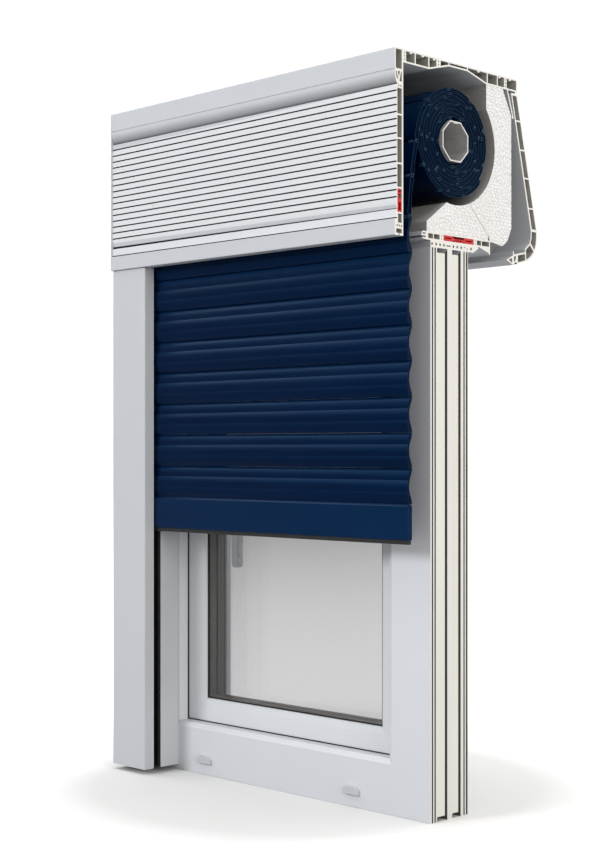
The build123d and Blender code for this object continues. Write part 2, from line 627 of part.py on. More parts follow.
def lead_in_slats():
    """Slats on their way from the roll to the hanging curtain."""
    path = [(CURTAIN_Y, SLAT_Z + HANGING_SLATS * SLAT_PITCH + 0.5)]
    clear = ROLL_R + SLAT_T * 0.36 + 4.0
    below, above = 0.24 * ROLL_R, 0.28 * ROLL_R
    path.append((SHAFT_Y - sqrt(clear ** 2 - below ** 2), SHAFT_Z - below))
    path.append((SHAFT_Y - sqrt(clear ** 2 - above ** 2), SHAFT_Z + above))
    halfway = ((path[0][0] * 0.6 + path[1][0] * 0.4), (path[0][1] + path[1][1]) / 2)
    path.insert(1, halfway)
    found = []
    for (y0, z0), (y1, z1) in zip(path, path[1:]):
        length = sqrt((y1 - y0) ** 2 + (z1 - z0) ** 2)
        turn = atan2(z1 - z0, y1 - y0) * 180 / pi
        face = Pos((y0 + y1) / 2, (z0 + z1) / 2) * Rot(0, 0, turn) * Rectangle(length - 3.0, SLAT_T * 0.7)
        found.append(along_x(face, ROLL_X, 0))
    return found


def end_slat():
    """Hollow flat bar at the curtain's foot."""
    z0 = END_SLAT_BOTTOM + END_SEAL_H
    z1 = SLAT_Z
    y0, y1 = CURTAIN_Y - 5.8, CURTAIN_Y + 5.8
    face = outline((y0, z0, 1.5), (y1, z0, 1.5), (y1, z1 - 3, 1.5), (CURTAIN_Y + 2.5, z1),
                   (CURTAIN_Y - 2.5, z1), (y0, z1 - 3, 1.5))
    middle = (z0 + z1) / 2
    chambers = rect(y0 + 1.8, z0 + 4, y1 - 1.8, middle - 1) + rect(y0 + 1.8, middle + 1, y1 - 1.8, z1 - 6)
    return along_x(face, -CURTAIN_W, 0) - along_x(chambers, -CURTAIN_W, -END_PLUG)


def end_seal():
    """Rubber strip under the end slat."""
    foot = END_SLAT_BOTTOM
    return block(-CURTAIN_W, 0, CURTAIN_Y - 3.5, CURTAIN_Y + 3.5, foot, foot + END_SEAL_H)


def slat_end_clips():
    """Plastic end pieces that run in the guide rail."""
    x1 = -CURTAIN_W - 0.05
    x0 = SLOT_END + 1.2
    half = SLAT_T / 2 - 0.5
    found = [block(x0, x1, CURTAIN_Y - half, CURTAIN_Y + half, SLAT_Z - 44, SLAT_Z - 8)]
    for step in range(RIGID_SLATS):
        z = SLAT_Z + step * SLAT_PITCH
        found.append(block(x0, x1, CURTAIN_Y - half, CURTAIN_Y + half, z + 8, z + 44))
    return found


# ---- guide rail ----------------------------------------------------------------------------------
def guide_rail():
    """Hollow left rail with the slot that the slats run in."""
    back = FRAME_Y
    face = outline((X0, RAIL_Y, 2), (RAIL_RIGHT, RAIL_Y, 2), (RAIL_RIGHT, back), (X0, back))
    face -= rect(SLOT_END, SLOT_Y, RAIL_RIGHT + 1, SLOT_Y + SLOT_W)
    wall = SKIN
    face -= rect(X0 + wall, RAIL_Y + wall, SLOT_END - wall, SLOT_Y + SLOT_W / 2)
    face -= rect(X0 + wall, SLOT_Y + SLOT_W / 2 + wall, SLOT_END - wall, back - wall)
    face -= rect(SLOT_END, RAIL_Y + wall, RAIL_RIGHT - wall, SLOT_Y - wall)
    face -= rect(SLOT_END, SLOT_Y + SLOT_W + wall, RAIL_RIGHT - wall, back - wall)
    return along_z(face, RAIL_FOOT, BOX_Z - 0.6)


def rail_seals():
    """Black brush strips on both sides of the rail's slot."""
    room = (SLOT_W - SLAT_T) / 2 - GAP
    top = FRAME_H - 25
    return [block(RAIL_RIGHT - 6, RAIL_RIGHT - 1, y, y + room, RAIL_FOOT + 0.5, top)
            for y in (SLOT_Y, SLOT_Y + SLOT_W - room)]


def rail_screws():
    """Screws that hold the rail on the frame, under the slot's floor."""
    found = []
    for z in (90, FRAME_H / 2, FRAME_H - 90):
        x = (SLOT_END + RAIL_RIGHT) / 2
        found.append(along_y(Pos(x, z) * Circle(4), FRAME_Y - SKIN - 2.2, FRAME_Y - SKIN - 0.05))
    return found


# ---- members mitred at both ends -----------------------------------------------------------------
def mitred(face, length, width):
    """A bar of a section drawn as (Y, distance from the outer edge), mitred for a frame corner."""
    bar = along_x(face, -length / 2, length / 2)
    half = length / 2
    trim = outline((-half, 0), (half, 0), (half - width, width), (-half + width, width))
    return bar & along_y(trim, -50, 500)


def ring(face, inset, width):
    """Four mitred members round the unit: foot, head, left, right. inset is their outer edge's."""
    across = UNIT_W - 2 * inset
    upright = FRAME_H - 2 * inset
    middle = -UNIT_W / 2
    level = mitred(face, across, width)
    post = mitred(face, upright, width)
    foot = Pos(middle, 0, inset) * level
    head = Pos(middle, 0, FRAME_H - inset) * Rot(0, 180, 0) * level
    left = Pos(X0 + inset, 0, FRAME_H / 2) * Rot(0, 90, 0) * post
    right = Pos(-inset, 0, FRAME_H / 2) * Rot(0, -90, 0) * post
    return foot, head, left, right


SIDE_GROOVE = 2.2
CHANNEL_DEEP = 6.0
SIDE_GROOVES = ((0.036, 0.07), (0.105, 0.139), (0.869, 0.903), (0.936, 0.98))  # shares of the frame's depth
CHANNELS = ((0.1705, 0.44), (0.5682, 0.7955))
STRIP_SHARE = (0.785, 0.742)


def frame_section():
    """Frame profile: outside leg, rebate and the channels along its outer side."""
    y0, y1 = FRAME_Y, FRAME_BACK
    corners = [(y0, 0, 0.8), (y0, FACE_W - 8, 1.5), (y0 + 5, FACE_W, 1.5), (LEG_BACK, FACE_W)]
    corners += [(LEG_BACK, REBATE_W), (y1, REBATE_W, 1.5), (y1, 0, 0.8)]
    face = outline(*corners)
    for start, end in SIDE_GROOVES:
        face -= rect(y0 + start * FRAME_D, -1, y0 + end * FRAME_D, SIDE_GROOVE)
    for start, end in CHANNELS:
        face -= rect(y0 + start * FRAME_D, -1, y0 + end * FRAME_D, CHANNEL_DEEP)
    low = CHANNEL_DEEP + SKIN
    face -= rect(y0 + 3, low, y0 + LEG_T - 3, REBATE_W - 4)
    face -= rect(y0 + 3, REBATE_W - 1, y0 + LEG_T - 3, FACE_W - 10)
    middle = (LEG_BACK + y1) / 2
    face -= rect(LEG_BACK, low, middle - 1.5, REBATE_W - 3)
    face -= rect(middle + 1.5, low, y1 - 3, REBATE_W - 3)
    return face


def jamb_strips():
    """Cream filler strips in the two channels on the outer side of each upright."""
    found = []
    end = 7.0
    for (start, stop), share in zip(CHANNELS, STRIP_SHARE):
        y0 = FRAME_Y + start * FRAME_D + 0.05
        y1 = y0 + share * (stop - start) * FRAME_D
        found.append(block(-CHANNEL_DEEP, -0.6, y0, y1, end, FRAME_H - end))
        found.append(block(X0 + 0.6, X0 + CHANNEL_DEEP, y0, y1, end, FRAME_H - end))
    return found


def frame_gasket():
    """Black seal on the outside leg, which the sash closes against."""
    outer, inner = SASH_EDGE + 2, FACE_W + 1.6
    return rim(outer, inner, LEG_BACK, SASH_Y - 0.1)


def rim(outer, inner, y0, y1):
    """A flat rectangular ring between two insets from the unit's edges."""
    big = rect(X0 + outer, outer, -outer, FRAME_H - outer)
    small = rect(X0 + inner, inner, -inner, FRAME_H - inner)
    return along_y(big - small, y0, y1)


CAP_SPOTS = (-493.0, -156.0)
DRAIN_Z = 26.5
CAP_W = 29.0
CAP_H = 13.0
CAP_OUT = 6.5         # the hood stands this far out of the sill


def drain_caps():
    """Two hooded caps over the drain slots in the sill, open at the bottom."""
    found = []
    half, low = CAP_W / 2, DRAIN_Z - CAP_H / 2
    for x in CAP_SPOTS:
        high = low + CAP_H
        shape = outline((x - half, low, 1), (x + half, low, 1), (x + half, high, 6), (x - half, high, 6))
        hood = along_y(shape, FRAME_Y - CAP_OUT, FRAME_Y)
        front = hood.faces().sort_by(Axis.Y)[0]
        hood = fillet(front.edges().filter_by(lambda edge: edge.center().Z > low + 0.5), 0.9)
        slot = block(x - half + 3, x + half - 3, FRAME_Y - CAP_OUT + 1.6, FRAME_Y - 1.2, low - 1, low + 4)
        found.append(hood - slot)
    return found


# ---- sash ----------------------------------------------------------------------------------------
SWELL_FROM = FACE_W + 3.0   # the sash face curves from here to the glass
LEDGE = 1.6                 # straight edge beside the glass


def sash_section():
    """Sash profile, measured from the same outer edge as the frame's."""
    width, deep = GLASS_EDGE - SWELL_FROM, PANE_Y - LEDGE - SASH_Y
    corners = [(SASH_Y, SASH_EDGE, 1)]
    for turn in range(0, 91, 15):
        corners.append((SASH_Y + deep * (1 - cos(radians(turn))), SWELL_FROM + width * sin(radians(turn))))
    corners += [(PANE_Y - 0.6, GLASS_EDGE), (PANE_Y - 0.6, POCKET)]
    corners += [(SASH_BACK, POCKET), (SASH_BACK, FLANGE_EDGE, 3), (FLANGE_Y, FLANGE_EDGE, 1)]
    corners += [(FLANGE_Y, SASH_EDGE)]
    face = outline(*corners)
    low = SASH_EDGE + 5
    face -= rect(SASH_Y + 3, low, PANE_Y + 14, POCKET - 3)
    face -= rect(PANE_Y + 17, low, SASH_BACK - 15, POCKET - 3)
    return shifted(face, SASH_EDGE_START)


SASH_EDGE_START = FLANGE_EDGE


def shifted(face, start):
    """Move a section so that its outer edge lies on the mitre's edge."""
    return Pos(0, -start) * face


def glazing_bead_section():
    """Clip-in bead that holds the glass from the room side."""
    corners = [(BEAD_Y, POCKET + 0.1), (BEAD_Y, GLASS_EDGE - 2), (BEAD_Y + 4, GLASS_EDGE, 2)]
    corners += [(SASH_BACK - 6, GLASS_EDGE - 4, 5), (SASH_BACK, GLASS_EDGE - 12, 4), (SASH_BACK, POCKET + 0.1)]
    return shifted(outline(*corners), POCKET)


def glass_panes():
    """Three panes, outside to inside."""
    edge = POCKET + 3
    fronts = [PANE_Y + n * (PANE_T + PANE_GAP) for n in range(3)]
    return [block(X0 + edge, -edge, front, front + PANE_T, edge, FRAME_H - edge) for front in fronts]


def glass_spacers():
    """Grey spacer frames between the panes."""
    edge = POCKET + 6
    found = []
    for n in range(2):
        y0 = PANE_Y + PANE_T + n * (PANE_T + PANE_GAP)
        found.append(rim(edge, edge + 14, y0, y0 + PANE_GAP))
    return found


def glazing_gaskets():
    """Black seals between glass and sash outside, and between glass and beads inside."""
    outside = rim(GLASS_EDGE - 8, GLASS_EDGE + 2.5, PANE_Y - 0.6, PANE_Y)
    inside = rim(GLASS_EDGE - 8, GLASS_EDGE - 0.5, PANE_Y + GLASS_T, BEAD_Y)
    return [outside, inside]


def sash_gasket():
    """Seal in the sash flange, against the frame's room face."""
    return rim(FLANGE_EDGE + 2, FLANGE_EDGE + 6, FRAME_BACK + 0.1, FLANGE_Y)


# ---- handle and lock -----------------------------------------------------------------------------
ROSETTE_T = 11.0


def handle_rosette():
    """Plate on the sash that the lever turns in."""
    plate = along_y(Pos(HANDLE_X, HANDLE_Z) * RectangleRounded(30, 70, 12), SASH_BACK, SASH_BACK + ROSETTE_T)
    plate = fillet(plate.faces().sort_by(Axis.Y)[-1].edges(), 2.5)
    neck_hole = along_y(Pos(HANDLE_X, HANDLE_Z) * Circle(9 + GAP), SASH_BACK - 1, SASH_BACK + ROSETTE_T + 1)
    return plate - neck_hole


def handle_lever():
    """Lever that hangs down when the sash is shut."""
    y0 = SASH_BACK + 0.5
    y1 = SASH_BACK + LEVER_REACH
    neck = along_y(Pos(HANDLE_X, HANDLE_Z) * Circle(9), y0, y1 - 6)
    shape = outline((HANDLE_X - 10.5, HANDLE_Z + 12, 8), (HANDLE_X + 10.5, HANDLE_Z + 12, 8),
                    (HANDLE_X + 9, HANDLE_Z - LEVER_L, 6), (HANDLE_X - 9, HANDLE_Z - LEVER_L, 6))
    grip = along_y(shape, y1 - 14, y1)
    grip = fillet(grip.faces().sort_by(Axis.Y)[-1].edges(), 4.0)
    return neck + fillet(grip.faces().sort_by(Axis.Y)[0].edges(), 3.0)


def handle_spindle():
    """Square spindle from the lever into the lock."""
    return along_y(Pos(HANDLE_X, HANDLE_Z) * Rectangle(7, 7), SASH_BACK - 12, SASH_BACK + 0.5)


def spindle_hole():
    """Round hole in the sash stile for the spindle."""
    return along_y(Pos(HANDLE_X, HANDLE_Z) * Circle(6), SASH_BACK - 13, SASH_BACK + 1)


CAM_R = 4.0
BAR_W = 16.0


def cam_places():
    """Heights of the locking cams."""
    return [FRAME_H * 0.25, FRAME_H * 0.75]


def locking_bar():
    """Sliding bar with its cams, in the gap beside the sash."""
    x0 = X0 + SASH_EDGE
    y = LOCK_Y
    bar = block(x0 - 2.6, x0 - 0.2, y - BAR_W / 2, y + BAR_W / 2, FRAME_H * 0.2, FRAME_H * 0.8)
    for z in cam_places():
        cam = along_x(Pos(y, z) * Circle(CAM_R), x0 - 8.5, x0 - 2.6)
        bar += cam
    return bar


def strike_plates():
    """Keepers on the frame that the cams slide behind."""
    x0 = X0 + REBATE_W
    y = LOCK_Y
    found = []
    for z in cam_places():
        face = outline((y - 14, z - 26, 3), (y + 14, z - 26, 3), (y + 14, z + 62, 3), (y - 14, z + 62, 3))
        found.append(along_x(face, x0, x0 + 2.4))
    return found


# ---- hinges --------------------------------------------------------------------------------------
BALL_R = 4.0
PIN_R = 2.0
PIN_L = 11.0


def frame_hinges():
    """Lower cup and upper bearing, screwed to the frame's room face."""
    cup = rod_z(HINGE_X, HINGE_Y, TILT_R, TILT_Z - 22, TILT_Z - 1)
    plate = block(HINGE_X - 2, HINGE_X + 26, FRAME_BACK, FRAME_BACK + 2.5, TILT_Z - 30, TILT_Z - 1)
    arm = block(HINGE_X, HINGE_X + 10, FRAME_BACK, HINGE_Y + 2, TILT_Z - 22, TILT_Z - 4)
    lower = cup + plate + arm - Pos(HINGE_X, HINGE_Y, TILT_Z) * Sphere(BALL_R + 0.15)
    lower -= rod_x(HINGE_Y, TILT_Z, PIN_R + 0.15, HINGE_X - PIN_L, HINGE_X + PIN_L)
    top = FRAME_H - TILT_Z
    upper = rod_z(HINGE_X, HINGE_Y, TILT_R, top - 36, top - 8)
    upper += block(HINGE_X - 2, HINGE_X + 26, FRAME_BACK, FRAME_BACK + 2.5, top - 36, top - 4)
    upper += block(HINGE_X, HINGE_X + 10, FRAME_BACK, HINGE_Y + 2, top - 36, top - 8)
    return [lower, upper]


def corner_pivot():
    """Ball, cross pin and barrel of the lower corner hinge, which tilts with the sash."""
    ball = Pos(HINGE_X, HINGE_Y, TILT_Z) * Sphere(BALL_R)
    neck = rod_z(HINGE_X, HINGE_Y, 2.2, TILT_Z, TILT_Z + 6)
    pin = rod_x(HINGE_Y, TILT_Z, PIN_R, HINGE_X - PIN_L / 2, HINGE_X + PIN_L / 2)
    return ball + neck + pin + rod_z(HINGE_X, HINGE_Y, TILT_R, TILT_Z + 5, TILT_Z + 16)


def sash_hinges():
    """Bands on the sash that turn on the corner pivot and under the upper bearing."""
    top = FRAME_H - TILT_Z
    found = []
    for z0, z1 in ((TILT_Z + 16.4, TILT_Z + 62), (top - 82, top - 38)):
        band = rod_z(HINGE_X, HINGE_Y, TILT_R, z0, z1)
        band += block(HINGE_X - 26, HINGE_X, SASH_BACK, SASH_BACK + 2.5, z0, z1)
        band += block(HINGE_X - 7.6, HINGE_X, HINGE_Y, SASH_BACK + 2.5, z0, z1)
        found.append(band)
    return found


def stay_arm():
    """Tilt stay along the top of the sash."""
    z = FRAME_H - SASH_EDGE
    return block(HINGE_X - 270, HINGE_X - 32, LOCK_Y - 4, LOCK_Y + 10, z + 1.0, z + 4.5)


# ---- write the sub-parts -------------------------------------------------------------------------
def main():
    """Build each sub-part and write it."""
    os.makedirs("parts", exist_ok=True)
    save("box_front_panel", front_panel())
    save("box_front_insert", front_insert())
    save("box_top_profile", top_profile())
    save("box_base_profile", base_profile())
    save("box_base_insert", base_insert())
    save("coupling_strip", coupling_strip())
    save("eps_rear_shell", eps_rear_shell())
    save("eps_lower_block", eps_lower_block())
    save("inspection_cover", inspection_cover())
    save("cover_seal", cover_seal())
    save("box_end_cap", box_end_cap())
    save("octagon_tube", octagon_tube())
    save("motor_bracket", motor_bracket())
    save("bracket_screws", *bracket_screws())
    save("motor_head", motor_head())
    save("motor_body", motor_body())
    save("limit_crown", limit_crown())
    save("drive_adapter", drive_adapter())
    save("wound_curtain", wound_curtain())
    save("hanger_links", *hanger_links())
    for number in range(RIGID_SLATS):
        save(f"slat_{number + 1}", slat(SLAT_Z + number * SLAT_PITCH))
    upper = range(RIGID_SLATS, HANGING_SLATS)
    save("upper_slats", *[slat(SLAT_Z + number * SLAT_PITCH) for number in upper])
    save("lead_in_slats", *lead_in_slats())
    save("end_slat", end_slat())
    save("end_slat_seal", end_seal())
    save("slat_end_clips", *slat_end_clips())
    save("guide_rail", guide_rail())
    save("rail_seals", *rail_seals())
    save("rail_screws", *rail_screws())
    for name, member in zip(("sill", "head", "left_jamb", "right_jamb"), ring(frame_section(), 0, FACE_W)):
        save(f"frame_{name}", member)
    save("jamb_strips", *jamb_strips())
    save("frame_gasket", frame_gasket())
    save("drain_caps", *drain_caps())
    members = ring(sash_section(), SASH_EDGE_START, GLASS_EDGE - SASH_EDGE_START)
    for name, member in zip(("bottom_rail", "top_rail", "handle_stile", "hinge_stile"), members):
        save(f"sash_{name}", member - spindle_hole() if name == "handle_stile" else member)
    save("glazing_beads", *ring(glazing_bead_section(), POCKET, BITE))
    save("glass_panes", *glass_panes())
    save("glass_spacers", *glass_spacers())
    save("glazing_gaskets", *glazing_gaskets())
    save("sash_gasket", sash_gasket())
    save("handle_rosette", handle_rosette())
    save("handle_lever", handle_lever())
    save("handle_spindle", handle_spindle())
    save("locking_bar", locking_bar())
    save("strike_plates", *strike_plates())
    save("frame_hinges", *frame_hinges())
    save("corner_pivot", corner_pivot())
    save("sash_hinges", *sash_hinges())
    save("stay_arm", stay_arm())


main()
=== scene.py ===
import json
from math import asin, cos, pi, radians, sin, tan

import bpy
import numpy as np
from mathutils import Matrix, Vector
from mathutils.bvhtree import BVHTree
from mathutils.geometry import delaunay_2d_cdt


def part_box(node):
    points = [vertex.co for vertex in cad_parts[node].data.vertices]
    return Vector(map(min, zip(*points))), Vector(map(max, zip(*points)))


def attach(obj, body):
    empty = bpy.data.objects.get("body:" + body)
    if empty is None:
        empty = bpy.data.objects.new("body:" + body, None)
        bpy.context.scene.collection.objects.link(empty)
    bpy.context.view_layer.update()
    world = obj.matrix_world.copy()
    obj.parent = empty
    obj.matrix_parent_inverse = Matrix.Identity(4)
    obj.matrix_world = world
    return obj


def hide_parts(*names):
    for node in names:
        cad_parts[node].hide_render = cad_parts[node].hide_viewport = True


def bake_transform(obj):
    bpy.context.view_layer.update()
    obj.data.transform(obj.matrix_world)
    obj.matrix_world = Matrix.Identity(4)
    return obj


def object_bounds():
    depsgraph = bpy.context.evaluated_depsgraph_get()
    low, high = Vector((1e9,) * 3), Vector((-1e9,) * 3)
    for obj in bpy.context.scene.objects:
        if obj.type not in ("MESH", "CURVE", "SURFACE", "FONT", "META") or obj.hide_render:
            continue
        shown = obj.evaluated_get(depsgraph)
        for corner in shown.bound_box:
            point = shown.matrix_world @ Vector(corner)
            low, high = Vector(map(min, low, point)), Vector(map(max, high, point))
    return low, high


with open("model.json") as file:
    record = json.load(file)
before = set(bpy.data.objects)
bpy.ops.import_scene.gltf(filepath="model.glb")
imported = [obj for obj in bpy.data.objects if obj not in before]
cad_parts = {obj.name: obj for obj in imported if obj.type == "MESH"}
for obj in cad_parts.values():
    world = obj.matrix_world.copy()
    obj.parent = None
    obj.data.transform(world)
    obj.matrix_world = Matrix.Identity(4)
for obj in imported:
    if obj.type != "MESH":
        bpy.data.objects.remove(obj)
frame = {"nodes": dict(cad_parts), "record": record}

CAD_LO, CAD_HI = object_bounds()
MM = 0.001
OPEN_X = CAD_HI.x                     # sawn end
PANEL_OUT = 5.0                       # the box panel stands this far in front of Y = 0
FRONT_Y = CAD_LO.y + PANEL_OUT * MM
NODES = frame["nodes"]
rng = np.random.default_rng(7)
SLOT_FRONT, SLOT_BACK = 19.4, 34.6    # the guide rail's slot, along Y


def spot(y, z, x=0.0):
    """A point given in millimetres from the sawn end, the zero plane near the outside face and the foot."""
    return (OPEN_X + x * MM, FRONT_Y + y * MM, z * MM)


# ---- materials -----------------------------------------------------------------------------------
class Shader:
    """A principled material and the few node calls that the materials below share."""

    def __init__(self, name, colour, roughness=0.5, **fixed):
        self.material = bpy.data.materials.new(name)
        self.material.use_nodes = True
        self.tree = self.material.node_tree
        self.bsdf = self.tree.nodes["Principled BSDF"]
        self.coords = self.add("ShaderNodeTexCoord").outputs["Object"]
        self.bsdf.inputs["Base Color"].default_value = (*colour, 1)
        self.bsdf.inputs["Roughness"].default_value = roughness
        self.material.diffuse_color = (*colour, 1)
        self.colour = None
        self.start = colour
        for label, value in fixed.items():
            self.bsdf.inputs[label.replace("_", " ")].default_value = value

    def add(self, kind, **values):
        node = self.tree.nodes.new(kind)
        for key, value in values.items():
            setattr(node, key, value)
        return node

    def link(self, source, target):
        self.tree.links.new(source, target)

    def stretched(self, scale):
        """Object coordinates scaled along each axis."""
        node = self.add("ShaderNodeMapping")
        node.inputs["Scale"].default_value = scale
        self.link(self.coords, node.inputs["Vector"])
        return node.outputs["Vector"]

    def noise(self, scale, detail=3.0, stretch=(1, 1, 1), rough=0.55):
        node = self.add("ShaderNodeTexNoise")
        node.inputs["Scale"].default_value = scale
        node.inputs["Detail"].default_value = detail
        node.inputs["Roughness"].default_value = rough
        self.link(self.stretched(stretch), node.inputs["Vector"])
        return node.outputs["Fac"]

    def cells(self, scale, stretch=(1, 1, 1), feature="F1", output="Distance"):
        node = self.add("ShaderNodeTexVoronoi", feature=feature)
        node.inputs["Scale"].default_value = scale
        self.link(self.stretched(stretch), node.inputs["Vector"])
        return node.outputs[output]

    def span(self, value, low, high, to_low=0.0, to_high=1.0):
        """Map a value from one range to another, clamped."""
        node = self.add("ShaderNodeMapRange")
        limits = {"From Min": low, "From Max": high, "To Min": to_low, "To Max": to_high}
        for label, number in limits.items():
            node.inputs[label].default_value = number
        self.link(value, node.inputs["Value"])
        return node.outputs["Result"]

    def axis(self, which):
        """One object coordinate."""
        node = self.add("ShaderNodeSeparateXYZ")
        self.link(self.coords, node.inputs["Vector"])
        return node.outputs[which]

    def tint(self, mask, colour, amount=1.0):
        """Mix a colour over the base colour by a mask."""
        node = self.add("ShaderNodeMix", data_type="RGBA")
        if self.colour is None:
            node.inputs[6].default_value = (*self.start, 1)
        else:
            self.link(self.colour, node.inputs[6])
        node.inputs[7].default_value = (*colour, 1)
        self.link(self.span(mask, 0, 1, 0, amount), node.inputs[0])
        self.colour = node.outputs[2]
        self.link(self.colour, self.bsdf.inputs["Base Color"])
        return self

    def bump(self, height, strength, distance=0.001):
        """Add a bump on top of any earlier one."""
        node = self.add("ShaderNodeBump")
        node.inputs["Strength"].default_value = strength
        node.inputs["Distance"].default_value = distance
        self.link(height, node.inputs["Height"])
        earlier = self.bsdf.inputs["Normal"].links
        if earlier:
            self.link(earlier[0].from_socket, node.inputs["Normal"])
        self.link(node.outputs["Normal"], self.bsdf.inputs["Normal"])
        return self

    def rough(self, value, low, high):
        self.link(self.span(value, 0.3, 0.7, low, high), self.bsdf.inputs["Roughness"])
        return self


def pvc(name, colour, shade, roughness=0.36):
    """Extruded window PVC: satin, with faint die lines along the run and slow colour drift."""
    made = Shader(name, colour, roughness, Specular_IOR_Level=0.45)
    made.tint(made.span(made.noise(5.0, 2.0), 0.35, 0.7), shade, 0.5)
    made.rough(made.noise(30.0, 3.0), roughness - 0.05, roughness + 0.08)
    made.bump(made.noise(900.0, 2.0, (0.02, 1, 1)), 0.05, 0.0003)
    return made.bump(made.noise(2600.0, 2.0), 0.06, 0.0002)


WHITE = pvc("white_pvc", (0.58, 0.60, 0.635), (0.545, 0.565, 0.60))
# A paler copy of the white PVC for the frame and sash: painted light.
FRAME_PAINTED_LIGHT = pvc("white_frame_painted_light", (0.72, 0.745, 0.785), (0.69, 0.71, 0.75))
# A paler copy of the white PVC for the lands between the front panel's grooves: painted light.
LAND_PAINTED_LIGHT = pvc("pvc_land_painted_light", (0.74, 0.76, 0.79), (0.71, 0.73, 0.76), 0.32)
# A paler, warmer copy for the frame's right side face: painted light from the side.
SIDE_PAINTED_LIGHT = pvc("pvc_side_painted_light", (0.86, 0.85, 0.82), (0.82, 0.81, 0.78), 0.45)
SAWN = Shader("pvc_sawn", (0.90, 0.89, 0.85), 0.55, Specular_IOR_Level=0.3)
SAWN.tint(SAWN.span(SAWN.noise(260.0, 4.0, (1, 0.15, 1)), 0.45, 0.75), (0.82, 0.81, 0.77), 0.5)
SAWN.bump(SAWN.noise(700.0, 3.0, (1, 0.1, 1)), 0.25, 0.0004)
# Darker warm grey for the walls of closed chambers: painted shade inside them.
INNER = Shader("pvc_inner_painted_shade", (0.50, 0.485, 0.45), 0.6, Specular_IOR_Level=0.3)
INNER.tint(INNER.span(INNER.noise(40.0, 3.0, (0.1, 1, 1)), 0.4, 0.7), (0.38, 0.37, 0.34), 0.6)
INNER.bump(INNER.noise(500.0, 2.0, (0.05, 1, 1)), 0.1, 0.0004)

BLUE_GLOSS = (0.03, 0.45, 1.0, 1.0)
NAVY = Shader("navy_slat", (0.0001, 0.0060, 0.030), 0.36, Specular_IOR_Level=0.14, Specular_Tint=BLUE_GLOSS)
NAVY.tint(NAVY.span(NAVY.noise(60.0, 3.0, (0.03, 1, 1)), 0.35, 0.7), (0.0003, 0.0085, 0.040), 0.6)
# Faces leaning up get a paler blue: a painted highlight from the light above.
facing = NAVY.add("ShaderNodeNewGeometry")
leans = NAVY.add("ShaderNodeSeparateXYZ")
NAVY.link(facing.outputs["Normal"], leans.inputs["Vector"])
NAVY.tint(NAVY.span(leans.outputs["Z"], 0.12, 0.60), (0.0045, 0.028, 0.085), 0.8)
NAVY.rough(NAVY.noise(120.0, 3.0, (0.1, 1, 1)), 0.28, 0.42)
NAVY.bump(NAVY.noise(1400.0, 2.0, (0.02, 1, 1)), 0.10, 0.0003)
# Near-black for the front panel's grooves and lines and the guide rail's slot: painted shade in these
# recesses.
GROOVE = Shader("pvc_groove_painted_shade", (0.010, 0.011, 0.013), 0.7, Specular_IOR_Level=0.2)
GROOVE.tint(GROOVE.span(GROOVE.noise(60.0, 3.0, (0.2, 1, 1)), 0.4, 0.7), (0.022, 0.022, 0.025), 0.6)
GROOVE.bump(GROOVE.noise(900.0, 2.0), 0.1, 0.0003)
# Dark grey for the channels in the frame's outer side: painted shade in these recesses.
CHANNEL = Shader("pvc_channel_painted_shade", (0.13, 0.13, 0.125), 0.7, Specular_IOR_Level=0.2)
CHANNEL.tint(CHANNEL.span(CHANNEL.noise(60.0, 3.0, (1, 1, 0.1)), 0.4, 0.7), (0.09, 0.09, 0.085), 0.6)
CHANNEL.bump(CHANNEL.noise(900.0, 2.0, (1, 1, 0.05)), 0.1, 0.0003)
# The cove darkens towards its foot: painted shade under the lip.
COVE = pvc("pvc_cove_painted_shade", (0.58, 0.60, 0.635), (0.545, 0.565, 0.60))
COVE.tint(COVE.span(COVE.axis("Z"), CAD_HI.z - 0.036, CAD_HI.z - 0.053), (0.16, 0.165, 0.175), 0.85)
NAVY_EDGE = Shader("navy_slat_edge", (0.002, 0.018, 0.060), 0.4,
                   Specular_IOR_Level=0.15, Specular_Tint=BLUE_GLOSS)
NAVY_EDGE.tint(NAVY_EDGE.span(NAVY_EDGE.noise(300.0, 3.0), 0.45, 0.7), (0.010, 0.038, 0.098), 0.7)
NAVY_EDGE.bump(NAVY_EDGE.noise(1500.0, 2.0), 0.2, 0.0003)
NAVY_CORE = Shader("navy_slat_core", (0.0012, 0.006, 0.018), 0.8,
                   Specular_IOR_Level=0.15, Specular_Tint=BLUE_GLOSS)
NAVY_CORE.tint(NAVY_CORE.span(NAVY_CORE.cells(700.0), 0.1, 0.6), (0.003, 0.012, 0.03), 0.8)
NAVY_CORE.bump(NAVY_CORE.cells(700.0), 0.6, 0.0006)
# The hooks' pale steel blue is a painted highlight where the slats lock together.
HOOK = Shader("navy_hook_painted_highlight", (0.012, 0.042, 0.095), 0.35, Specular_IOR_Level=0.15, Specular_Tint=BLUE_GLOSS)
HOOK.tint(HOOK.span(HOOK.noise(160.0, 3.0), 0.4, 0.65), (0.09, 0.16, 0.25), 0.9)
HOOK.bump(HOOK.noise(1200.0, 2.0), 0.2, 0.0003)
END_BAR = Shader("navy_end_slat", (0.0006, 0.010, 0.046), 0.30,
                 Specular_IOR_Level=0.3, Specular_Tint=BLUE_GLOSS)
END_BAR.tint(END_BAR.span(END_BAR.noise(12.0, 3.0, (0.3, 1, 1)), 0.35, 0.7), (0.0015, 0.017, 0.062), 0.7)
END_BAR.bump(END_BAR.noise(2200.0, 3.0), 0.18, 0.0002)

